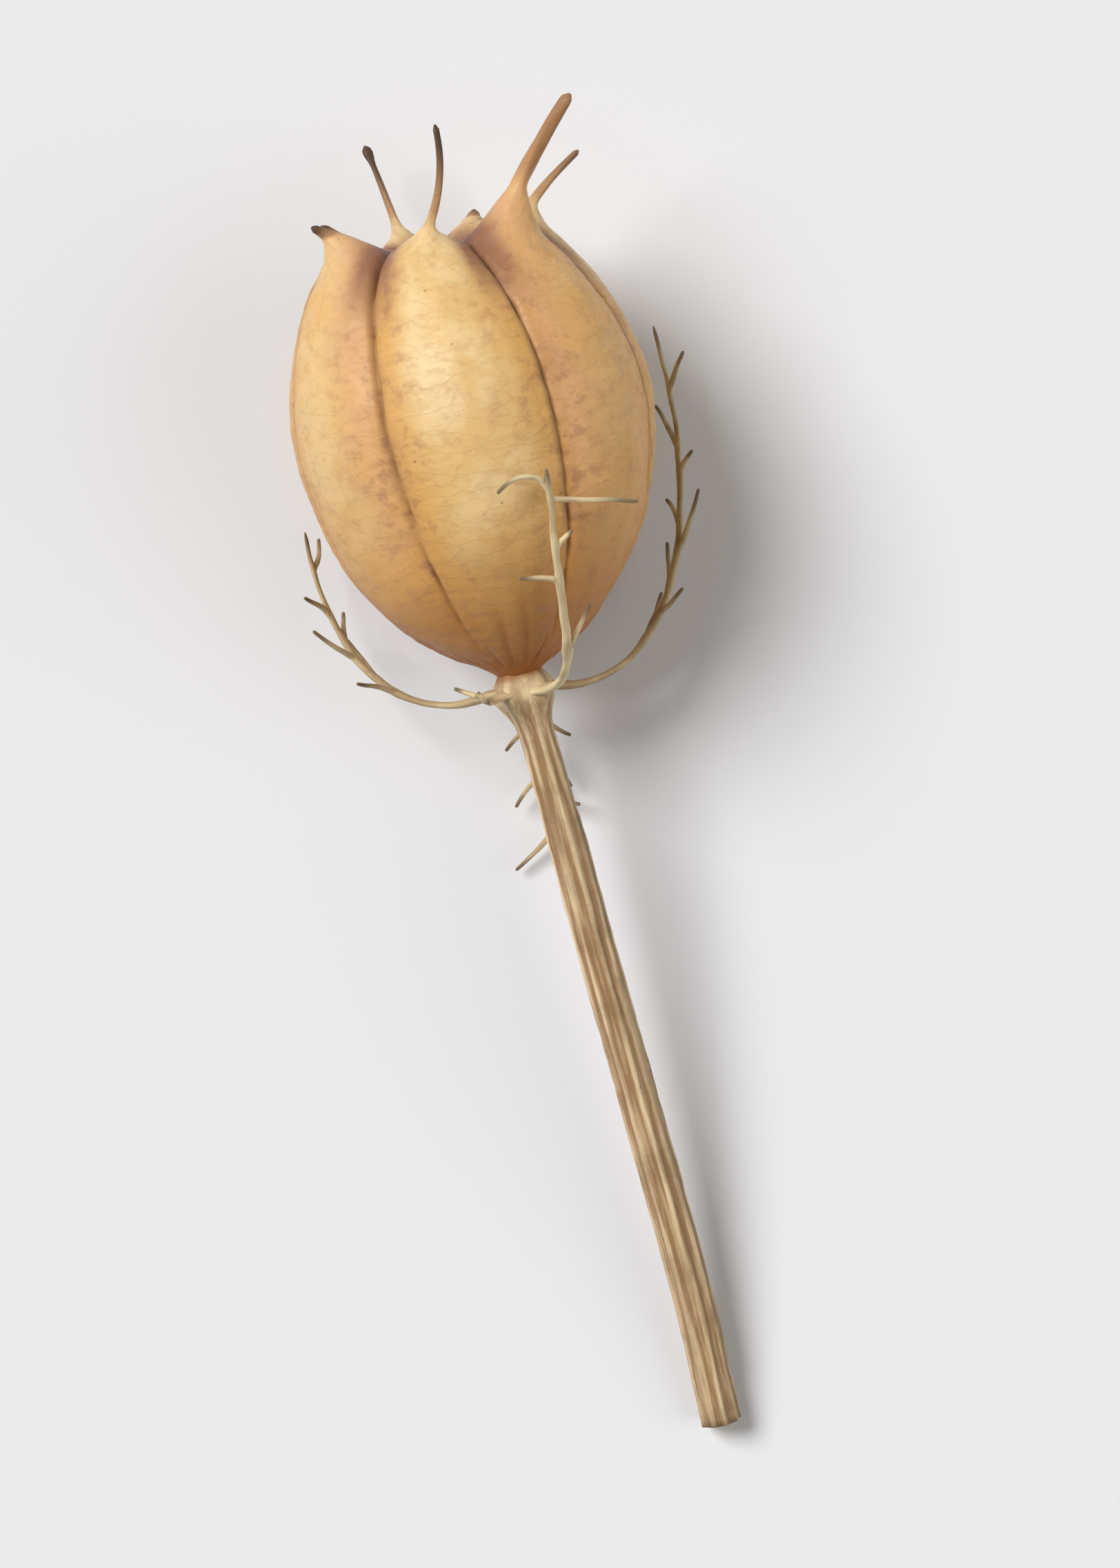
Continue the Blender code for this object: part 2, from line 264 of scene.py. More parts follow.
@contextmanager
def editing(item: bpy.types.Object) -> Iterator[None]:
    """Opens an object in edit mode with face selection, and closes it again.

    Args:
        item: the object.
    """
    bpy.context.view_layer.objects.active = item
    bpy.ops.object.mode_set(mode="EDIT")
    bpy.ops.mesh.select_mode(type="FACE")
    yield
    bpy.ops.object.mode_set(mode="OBJECT")


def select_faces(item: bpy.types.Object, chosen: Iterable[int]) -> None:
    """Selects only some faces of an object that is in edit mode.

    Args:
        item: the object.
        chosen: the faces' numbers.
    """
    bpy.ops.mesh.select_all(action="DESELECT")
    edited = bmesh.from_edit_mesh(item.data)
    edited.faces.ensure_lookup_table()
    for index in chosen:
        edited.faces[index].select_set(True)
    bmesh.update_edit_mesh(item.data)


def extrude_selected(offset: tuple[float, float, float], times: int) -> None:
    """Extrudes the selected faces by the same offset again and again."""
    for _ in range(times):
        bpy.ops.mesh.extrude_region_move(TRANSFORM_OT_translate={"value": offset})


def named_primitive(name: str) -> bpy.types.Object:
    """Names the primitive that was added last, and its mesh.

    Args:
        name: their name.

    Returns:
        The primitive.
    """
    item = bpy.context.active_object
    item.name = item.data.name = name
    return item


def straight_tube(name: str, sides: int, rings: int) -> bpy.types.Object:
    """Extrudes a filled circle ring by ring into a closed tube, one unit wide and one unit long.

    Args:
        name: the new object's name.
        sides: how many sides the tube has.
        rings: how many stretches it has along its length.

    Returns:
        The tube, along +Z from the origin.
    """
    bpy.ops.object.select_all(action="DESELECT")
    bpy.ops.mesh.primitive_circle_add(vertices=sides, radius=1.0, fill_type="NGON", location=(0, 0, 0))
    tube = named_primitive(name)
    with editing(tube):
        bpy.ops.mesh.select_all(action="SELECT")
        extrude_selected((0, 0, 1 / rings), rings)
        bpy.ops.mesh.select_all(action="SELECT")
        bpy.ops.mesh.normals_make_consistent(inside=False)
    return tube


def finish_piece(piece: bpy.types.Object, slot: Slot, material: bpy.types.Material, *nodes: str) -> None:
    """Dresses a finished piece, ties it to the pod's body and hides the solids that it stands for.

    Args:
        piece: the finished piece, in place.
        slot: the record's material slot; not used.
        material: its material.
        nodes: the CAD nodes that it replaces.
    """
    piece.data.materials.clear()
    piece.data.materials.append(material)
    piece.data.shade_smooth()
    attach(piece, "root")
    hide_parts(*nodes)
    size = [round(float(side) / MM, 2) for side in np.ptp(places_of(piece.data), axis=0)]
    LOG.info("%s: %d faces, %s mm", piece.name, len(piece.data.polygons), size)


class NodeBuilder:
    """Adds nodes to one shader tree; an input is a number, a colour or another node's output."""

    def __init__(self, tree: bpy.types.NodeTree) -> None:
        """Starts from an empty tree."""
        self.tree = tree
        self.tree.nodes.clear()

    def node(self, kind: str, inputs: dict[str | int, Any] | None = None, **settings: Any) -> bpy.types.Node:
        """Adds a node.

        Args:
            kind: Blender's name for the node's type.
            inputs: values or outputs of other nodes, by the input's name or number.
            settings: the node's own options.

        Returns:
            The new node.
        """
        made = self.tree.nodes.new(kind)
        for name, value in settings.items():
            setattr(made, name, value)
        for name, value in (inputs or {}).items():
            if isinstance(value, Socket):
                self.tree.links.new(value, made.inputs[name])
            else:
                made.inputs[name].default_value = value
        return made

    def attribute(self, name: str) -> Socket:
        """A number stored on the mesh."""
        return self.node("ShaderNodeAttribute", attribute_name=name).outputs["Fac"]

    def skin(self) -> Socket:
        """The mesh's own coordinates along its surface, in millimetres."""
        return self.node("ShaderNodeAttribute", attribute_name="skin").outputs["Vector"]

    def place(self) -> Socket:
        """The place on the object, in millimetres."""
        return self.times_vector(self.node("ShaderNodeTexCoord").outputs["Object"], (1000, 1000, 1000))

    def times_vector(self, vector: Socket, factors: Any) -> Socket:
        """A vector with each of its parts multiplied."""
        return self.node("ShaderNodeVectorMath", {0: vector, 1: factors}, operation="MULTIPLY").outputs[0]

    def calculate(self, operation: str, first: Any, second: Any, clamp: bool = False) -> Socket:
        """One step of arithmetic on two numbers."""
        return self.node("ShaderNodeMath", {0: first, 1: second}, operation=operation,
                         use_clamp=clamp).outputs[0]

    def times(self, first: Any, second: Any) -> Socket:
        """Two numbers multiplied."""
        return self.calculate("MULTIPLY", first, second)

    def plus(self, first: Any, second: Any) -> Socket:
        """Two numbers added, and kept from 0 to 1."""
        return self.calculate("ADD", first, second, clamp=True)

    def eased(self, value: Socket, low: float, high: float, start: float = 0.0, end: float = 1.0) -> Socket:
        """Eases over from start to end while a number goes from low to high."""
        inputs = {"Value": value, "From Min": low, "From Max": high, "To Min": start, "To Max": end}
        return self.node("ShaderNodeMapRange", inputs, interpolation_type="SMOOTHSTEP").outputs[0]

    def noise(self, vector: Socket, scale: Any, detail: float = 3.0, roughness: float = 0.5,
              output: str = "Fac") -> Socket:
        """Cloudy noise from 0 to 1, or a colour of it."""
        inputs = {"Vector": vector, "Scale": scale, "Detail": detail, "Roughness": roughness}
        return self.node("ShaderNodeTexNoise", inputs).outputs[output]

    def blend(self, amount: Any, under: Any, over: Any) -> Socket:
        """Lays a colour over another; each is an output, or red, green and blue from 0 to 255."""
        colours = [part if isinstance(part, Socket) else srgb(part) for part in (under, over)]
        return self.node("ShaderNodeMix", {0: amount, 6: colours[0], 7: colours[1]},
                         data_type="RGBA").outputs[2]

    def layered(self, under: Any, *layers: tuple[Any, Colour]) -> Any:
        """Lays colours over one another.

        Args:
            under: the lowest colour.
            layers: how much shows of each further colour, and the colour, from the lowest to the highest.

        Returns:
            The colour that is seen.
        """
        for amount, over in layers:
            under = self.blend(amount, under, over)
        return under

    def bump(self, height: Socket, strength: float, depth: float, **more: Socket) -> Socket:
        """The normal of a surface that a height raises by a depth."""
        inputs = {"Height": height, "Strength": strength, "Distance": depth, **more}
        return self.node("ShaderNodeBump", inputs).outputs[0]

    def principled(self, inputs: dict[str, Any]) -> None:
        """Ends a material with a Principled BSDF of these inputs."""
        shader = self.node("ShaderNodeBsdfPrincipled", inputs)
        self.node("ShaderNodeOutputMaterial", {"Surface": shader.outputs[0]})


def new_material(name: str) -> tuple[bpy.types.Material, NodeBuilder]:
    """Adds a material.

    Args:
        name: its name.

    Returns:
        The material, and the builder of its nodes.
    """
    material = bpy.data.materials.new(name)
    material.use_nodes = True
    return material, NodeBuilder(material.node_tree)


@dataclass(frozen=True)
class DrySkin:
    """What all dry plant skins share: a shader group with blotches, fibres, specks and fine relief."""

    blotch: float                       # blotches a millimetre
    fibre: tuple[float, float, float]   # fibres a millimetre, along each of the skin's directions
    speck: float                        # cells that may hold a speck, a millimetre
    speck_size: float                   # a speck's radius as a share of its cell
    bump: float                         # depth of the fine relief
    strength: float = 0.8
    roughness: tuple[float, float] = (0.5, 0.75)
    specular: float = 0.35

    NAME = "dry_skin"
    INPUTS = {"Place": "Vector", "Skin": "Vector", "Blotch Scale": "Float", "Fibre Scale": "Vector",
              "Speck Scale": "Float", "Speck Size": "Float"}
    OUTPUTS = ("Blotch", "Fibre", "Speck", "Height")
    FINE_SCALE = 9.0        # of the relief that is finer than the fibres, and its share of the height
    FINE_SHARE = 0.3
    SPECK_SHARE = 0.34      # share of the cells that hold a speck

    @property
    def tree(self) -> bpy.types.NodeTree:
        """The shader group, which is built the first time."""
        return bpy.data.node_groups.get(self.NAME) or self.new_tree()

    def new_tree(self) -> bpy.types.NodeTree:
        """Builds the shader group.

        Returns:
            The group's node tree.
        """
        group = bpy.data.node_groups.new(self.NAME, "ShaderNodeTree")
        for name, kind in self.INPUTS.items():
            group.interface.new_socket(name=name, in_out="INPUT", socket_type=f"NodeSocket{kind}")
        for name in self.OUTPUTS:
            group.interface.new_socket(name=name, in_out="OUTPUT", socket_type="NodeSocketFloat")
        nodes = NodeBuilder(group)
        given = nodes.node("NodeGroupInput").outputs
        place = given["Place"]
        blotch = nodes.noise(place, given["Blotch Scale"], 4.0, 0.55)
        fibre = nodes.noise(nodes.times_vector(given["Skin"], given["Fibre Scale"]), 1.0, 5.0, 0.62)
        cells = nodes.node("ShaderNodeTexVoronoi", {"Vector": place, "Scale": given["Speck Scale"]})
        chance = nodes.node("ShaderNodeSeparateColor", {0: cells.outputs["Color"]}).outputs[0]
        reach = nodes.times(given["Speck Size"], nodes.eased(chance, 0.0, self.SPECK_SHARE, 1.0, 0.0))
        inside = nodes.calculate("SUBTRACT", reach, cells.outputs["Distance"])
        speck = nodes.eased(nodes.calculate("DIVIDE", inside, reach), 0.0, 0.7)
        fine = nodes.noise(place, self.FINE_SCALE, 3.0, 0.6)
        height = nodes.calculate("ADD", nodes.times(fibre, 1 - self.FINE_SHARE),
                                 nodes.times(fine, self.FINE_SHARE))
        nodes.node("NodeGroupOutput", {"Blotch": blotch, "Fibre": fibre, "Speck": speck, "Height": height})
        return group

    def place_in(self, nodes: NodeBuilder) -> Any:
        """Places the group in a material, and gives its outputs."""
        inputs = {"Place": nodes.place(), "Skin": nodes.skin(), "Blotch Scale": self.blotch,
                  "Fibre Scale": self.fibre, "Speck Scale": self.speck, "Speck Size": self.speck_size}
        return nodes.node("ShaderNodeGroup", inputs, node_tree=self.tree).outputs

    def shader(self, nodes: NodeBuilder, skin: Any, colour: Socket, **beneath: Socket) -> dict[str, Any]:
        """What the Principled BSDF gets.

        Args:
            nodes: the material's builder.
            skin: the group's outputs.
            colour: the colour of the skin.
            beneath: the normal of a relief beneath the fine one, if there is any.

        Returns:
            The shader's inputs.
        """
        return {"Base Color": colour, "Specular IOR Level": self.specular,
                "Roughness": nodes.eased(skin["Fibre"], 0.3, 0.7, *self.roughness),
                "Normal": nodes.bump(skin["Height"], self.strength, self.bump, **beneath)}


@dataclass(frozen=True)
class CapsuleFinish:
    """The capsule's papery skin: golden lobes, brown bands along the grooves and dark style tips, with a
    painted highlight on the lobes' middles and painted shade in the grooves, in the pleats, over the lower
    part and on the right-hand lobe.
    """

    golden: Colour = (212, 166, 92)
    # amber: painted warm shade on the right-hand lobe, and each lobe's own tone elsewhere
    amber: Colour = (216, 150, 84)
    # cream: paler blotches, and a painted highlight on the middles of the lobes
    cream_and_highlight: Colour = (234, 217, 168)
    band: Colour = (216, 170, 128)
    mauve: Colour = (166, 114, 86)
    # base: the base's own brown, also painted shade over the lower part and in the pleats' folds
    base: Colour = (166, 102, 44)
    vein: Colour = (172, 116, 62)
    crown: Colour = (130, 84, 68)
    # crease: the dark suture line, and painted shade along the grooves
    crease: Colour = (92, 54, 32)
    speck: Colour = (132, 86, 48)
    style: Colour = (174, 130, 88)
    style_tip: Colour = (84, 60, 46)
    skin: DrySkin = DrySkin(0.26, (1.1, 1.1, 2.2), 1.15, 0.17, 0.03 * MM,
                            roughness=(0.38, 0.58), specular=0.3)
    net_depth: float = 0.012 * MM
    net_scale: tuple[float, float, float] = (0.42, 0.42, 0.95)
    net_bend: float = 0.7
    net_width: float = 0.09
    glow: float = 0.12
    glow_reach: float = 0.6 * MM
    glow_colour: tuple[float, float, float] = (1.0, 0.55, 0.28)

    def build(self) -> bpy.types.Material:
        """Makes the material.

        Returns:
            The capsule's material.
        """
        material, nodes = new_material("capsule_skin")
        skin, net = self.skin.place_in(nodes), self.vein_net(nodes)
        share, middle = nodes.attribute("share"), nodes.attribute("lobe_middle")
        band, amber_and_shade = nodes.attribute("band"), nodes.attribute("lobe_amber_and_shade")
        style = nodes.attribute("style_rise")
        blotch = nodes.eased(skin["Blotch"], 0.35, 0.68)
        # Painted highlight: cream on the middles of the lobes, varied by blotches, fading towards the base
        # and on the shaded right-hand lobe
        pale = nodes.times(nodes.eased(blotch, 0.0, 1.0, 0.45, 1.0), nodes.eased(middle, 0.2, 0.95, 0.0, 0.9))
        pale = nodes.times(pale, nodes.eased(share, 0.12, 0.5))
        pale = nodes.times(pale, nodes.eased(amber_and_shade, 0.0, 0.6, 1.0, 0.35))
        # Browner towards the base: the base's own brown, and painted shade over the lower part of the capsule
        foot = nodes.times(nodes.eased(share, 0.44, 0.04), nodes.eased(skin["Blotch"], 0.3, 0.6, 0.8, 1.0))
        mottle = nodes.times(nodes.eased(nodes.noise(nodes.skin(), 0.85, 4.0, 0.68), 0.5, 0.66),
                             nodes.eased(middle, 0.95, 0.4, 0.2, 0.5))
        rim = nodes.times(nodes.eased(share, 0.66, 0.82, 0.0, 0.8), nodes.eased(middle, 0.85, 0.35))
        colour = nodes.layered(
            self.golden,
            # painted highlight, and paler blotches
            (pale, self.cream_and_highlight),
            # painted warm shade on the right-hand lobe, each lobe's own amber elsewhere
            (nodes.times(amber_and_shade, 0.8), self.amber),
            # the base's own brown, and painted shade
            (foot, self.base),
            (nodes.times(band, nodes.eased(skin["Fibre"], 0.25, 0.6, 0.55, 1.0)), self.band),
            (nodes.times(band, nodes.eased(skin["Blotch"], 0.45, 0.62, 0.0, 0.4)), self.mauve),
            (nodes.times(nodes.eased(skin["Fibre"], 0.5, 0.72), 0.2), self.vein),
            (mottle, self.mauve),
            (nodes.times(net, 0.09), self.vein),
            (nodes.plus(nodes.eased(share, 0.85, 0.93, 0.0, 0.75), rim), self.crown),
            # painted shade in the folds of the pleats
            (nodes.attribute("pleat"), self.base),
            # the dark suture line, and painted shade along the groove round it
            (nodes.attribute("crease"), self.crease),
            (nodes.times(skin["Speck"], 0.55), self.speck),
            (nodes.eased(style, 0.0, 0.25, 0.0, 0.85), self.style),
            (nodes.times(nodes.eased(style, 0.05, 0.9), nodes.attribute("style_dark")), self.style_tip),
        )
        raised = nodes.bump(net, self.skin.strength, self.net_depth)
        nodes.principled(self.skin.shader(nodes, skin, colour, Normal=raised) | {
            "Subsurface Weight": self.glow, "Subsurface Radius": self.glow_colour,
            "Subsurface Scale": self.glow_reach})
        return material

    def vein_net(self, nodes: NodeBuilder) -> Socket:
        """The fine net of veins that runs across each lobe.

        Args:
            nodes: the material's builder.

        Returns:
            1 on a vein and 0 between the veins.
        """
        bend = nodes.noise(nodes.skin(), self.net_bend, 2.0, output="Color")
        bent = nodes.node("ShaderNodeVectorMath", {0: nodes.skin(), 1: bend}, operation="ADD").outputs[0]
        inputs = {"Vector": nodes.times_vector(bent, self.net_scale), "Scale": 1.0}
        cells = nodes.node("ShaderNodeTexVoronoi", inputs, feature="DISTANCE_TO_EDGE")
        return nodes.eased(cells.outputs["Distance"], 0.0, self.net_width, 1.0, 0.0)


@dataclass(frozen=True)
class StalkFinish:
    """The stalk's skin: pale ridges, darker furrows and long fibres."""

    ridge: Colour = (222, 198, 158)
    furrow: Colour = (148, 114, 78)
    stain: Colour = (118, 92, 62)
    knot: Colour = (212, 190, 150)
    # collar: the capsule's brown carried onto the stalk, also painted shade where the stalk meets the capsule
    collar: Colour = (168, 116, 66)
    pith: Colour = (226, 210, 176)
    skin: DrySkin = DrySkin(0.4, (3.2, 3.2, 0.16), 1.2, 0.22, 0.05 * MM, strength=0.9)

    def build(self) -> bpy.types.Material:
        """Makes the material.

        Returns:
            The stalk's material.
        """
        material, nodes = new_material("stalk_skin")
        skin = self.skin.place_in(nodes)
        ridge = nodes.plus(nodes.eased(nodes.attribute("ridge"), 0.1, 0.95, 0.0, 0.75),
                           nodes.eased(skin["Fibre"], 0.35, 0.65, -0.3, 0.45))
        knot = nodes.times(nodes.attribute("knot"), nodes.eased(skin["Blotch"], 0.3, 0.6, 0.8, 0.3))
        colour = nodes.layered(
            self.furrow,
            (ridge, self.ridge),
            (nodes.times(nodes.eased(skin["Blotch"], 0.45, 0.7), 0.4), self.stain),
            (knot, self.knot),
            # the capsule's brown, and painted shade just below the capsule
            (nodes.eased(nodes.attribute("collar"), 0.1, 0.7, 0.0, 0.85), self.collar),
            (nodes.times(skin["Speck"], 0.6), self.stain),
            (nodes.attribute("pith"), self.pith),
        )
        nodes.principled(self.skin.shader(nodes, skin, colour))
        return material


@dataclass(frozen=True)
class BractFinish:
    """A bract's skin: pale straw where it is fresh, brown where it is weathered and at its tips, and painted
    shade that browns the bracts lying round the sides and back of the capsule.
    """

    straw: Colour = (222, 202, 160)
    brown: Colour = (140, 112, 72)
    tip: Colour = (104, 84, 58)
    skin: DrySkin = DrySkin(0.5, (4.0, 4.0, 0.5), 1.6, 0.18, 0.03 * MM)

    def build(self) -> bpy.types.Material:
        """Makes the material.

        Returns:
            The bracts' material.
        """
        material, nodes = new_material("bract_skin")
        skin = self.skin.place_in(nodes)
        # Browning: blotchy wear, and painted shade that darkens the bracts round the sides and back of the
        # capsule
        worn_and_shaded = nodes.plus(nodes.attribute("weathering"), nodes.eased(skin["Blotch"], 0.35, 0.7, -0.2, 0.25))
        colour = nodes.layered(
            self.straw,
            (worn_and_shaded, self.brown),
            (nodes.times(nodes.eased(skin["Fibre"], 0.45, 0.7), 0.45), self.brown),
            (nodes.eased(nodes.attribute("tip"), 0.45, 1.0, 0.0, 0.85), self.tip),
        )
        nodes.principled(self.skin.shader(nodes, skin, colour))
        return material


@dataclass(frozen=True)
class FloorFinish:
    """The pale, matt floor."""

    colour: Colour = (223, 224, 227)
    shade: Colour = (219, 220, 223)
    cloud_scale: float = 0.02
    roughness: float = 0.8
    specular: float = 0.2

    def build(self) -> bpy.types.Material:
        """Makes the material.

        Returns:
            The floor's material.
        """
        material, nodes = new_material("floor_paint")
        cloud = nodes.noise(nodes.place(), self.cloud_scale, 2.0)
        nodes.principled({"Base Color": nodes.blend(cloud, self.colour, self.shade),
                          "Roughness": self.roughness, "Specular IOR Level": self.specular})
        return material


@dataclass(frozen=True)
class Outline:
    """The capsule's outline, read by the share of its length from the base to the middle of the crown."""

    points_mm: tuple[tuple[float, float, float], ...] = (
        (0.0, 0.0, 0.0),
        (1.5, 0.0, 0.0),
        (4.1, 1.1, 0.12),
        (7.0, 3.8, 0.28),
        (9.4, 7.8, 0.45),
        (10.7, 13.0, 0.6),
        (10.5, 17.4, 0.72),
        (9.35, 21.2, 0.82),
        (7.5, 24.1, 0.95),
        (5.3, 25.6, 1.05),
        (3.0, 25.1, 0.8),
        (0.0, 24.2, 0.0),
    )
    steps: int = 16
    reach: float = 0.01

    @cached_property
    def curve(self) -> Array:
        """Distance from the axis, height and groove depth along the outline, one row each."""
        return smooth_through(np.array(self.points_mm) * MM, self.steps)

    @cached_property
    def distance(self) -> Array:
        """Distance of each row of the curve along the outline."""
        return distances(self.curve[:, :2])

    @property
    def length(self) -> float:
        """Length of the outline."""
        return float(self.distance[-1])

    def at(self, share: Array) -> tuple[Array, Array, Array]:
        """Distance from the axis, height and groove depth at shares of the outline."""
        shares = self.distance / self.length
        return tuple(np.interp(share, shares, column) for column in self.curve.T)

    def outward(self, share: Array) -> tuple[Array, Array]:
        """The direction straight out of the wall.

        Args:
            share: shares of the outline.

        Returns:
            Its part away from the axis and its part up.
        """
        radius_a, height_a, _ = self.at(np.maximum(share - self.reach, 0.0))
        radius_b, height_b, _ = self.at(np.minimum(share + self.reach, 1.0))
        away, up = height_b - height_a, radius_a - radius_b
        size = np.hypot(away, up)
        return away / size, up / size

    def radius_at_height(self, height: float, rim_share: float) -> float:
        """The wall's distance from the axis at a height below the rim."""
        rising = self.curve[self.distance <= rim_share * self.length]
        return float(np.interp(height, rising[:, 1], rising[:, 0]))


@dataclass(frozen=True)
class LobedWall:
    """The capsule's lobed wall, the same as the solid's."""

    outline: Outline = Outline()
    lobes: int = 7
    rim_share: float = 0.855
    roundness: float = 0.75
    front_spread: float = 0.1
    twist: float = math.radians(-10)
    twist_middle: float = 0.45
    drift: float = -0.55 * MM
    drift_start: float = 0.5
    drift_end: float = 0.85
    dent_depth: float = 0.22 * MM
    dent_size: float = 6.5 * MM
    dent_fade: float = 4 * MM

    def azimuth(self, phase: Array, share: Array) -> Array:
        """Angle round the axis of a lobe phase; the front lobes are wider, and all twist a little."""
        return phase + self.front_spread * np.sin(phase) + self.twist * (share - self.twist_middle)

    def normal(self, share: Array, phase: Array) -> Array:
        """The direction straight out of the wall, without its lobes, one a row."""
        away, up = self.outline.outward(share)
        return around(self.azimuth(phase, share), away, up)

    def at(self, share: Array, phase: Array) -> Array:
        """Points of the wall before the styles are drawn up out of it.

        Args:
            share: shares of the outline.
            phase: lobe phases; a lobe's middle stands at each whole part of a turn.

        Returns:
            One point of the pod's frame a row.
        """
        radius, height, groove = self.outline.at(share)
        azimuth = self.azimuth(phase, share)
        normal = self.normal(share, phase)
        bulge = np.abs(np.cos(self.lobes * phase / 2)) ** self.roundness
        place = around(azimuth, radius, height) - normal * (groove * (1 - bulge))[:, None]
        dent = noise_at(place, self.dent_size) * self.dent_depth * np.minimum(1.0, radius / self.dent_fade)
        place = place + normal * dent[:, None]
        place[:, 0] += self.drift * smoothstep(self.drift_start, self.drift_end, share)
        return place

    def groove_gap(self, share: Array, phase: Array) -> tuple[Array, Array]:
        """How far points are from the nearest groove.

        Args:
            share: shares of the outline.
            phase: lobe phases.

        Returns:
            The distance along the wall, positive away from the front, and the groove's number.
        """
        turns = self.lobes * phase / FULL_TURN
        groove = np.floor(turns)
        gap = (turns - groove - 0.5) * FULL_TURN / self.lobes * self.outline.at(share)[0]
        return gap * np.where(phase >= 0, 1.0, -1.0), groove


@dataclass(frozen=True)
class LyingDown:
    """The turn and the shift that lay the standing pod where its solids lie."""

    wall: LobedWall
    tilt: float = math.radians(5.0)
    heading: float = math.radians(-2.1)
    solid_columns: int = 56
    solid_rings: int = 34

    @cached_property
    def turn(self) -> Array:
        """The turn, as a matrix."""
        turned = Matrix.Rotation(self.heading, 3, "Z") @ Matrix.Rotation(self.tilt - math.pi / 2, 3, "X")
        return np.array(turned)

    @cached_property
    def shift(self) -> Array:
        """The shift that brings the wall's points to the solid's own sides, base and top."""
        shares, phases = np.meshgrid(np.arange(self.solid_rings + 1) / self.solid_rings,
                                     np.arange(self.solid_columns) * FULL_TURN / self.solid_columns)
        turned = self.wall.at(shares.ravel(), phases.ravel()) @ self.turn.T
        low, high = (np.array(corner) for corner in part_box("capsule"))
        middle_x = (low[0] + high[0] - turned[:, 0].min() - turned[:, 0].max()) / 2
        return np.array((middle_x, low[1] - turned[:, 1].min(), high[2] - turned[:, 2].max()))

    def lay(self, places: Array, lowest: float = 0.0) -> Array:
        """Lays points of the standing pod down.

        Args:
            places: points of the pod's frame, one a row.
            lowest: how near to the floor a point may come.

        Returns:
            Their places on the floor, one a row.
        """
        laid = places @ self.turn.T + self.shift
        laid[:, 2] = np.maximum(laid[:, 2], lowest)
        return laid


@dataclass(frozen=True)
class Style:
    """The horn-like style on one lobe; angles in degrees, lengths in millimetres."""

    lobe: int
    lean: float
    turn: float
    length: float
    radius: float
    tip_radius: float
    curl: float
    peak: float
    cone: float
    darkness: float = 1.0
    tip: Tip = Tip.POINTED


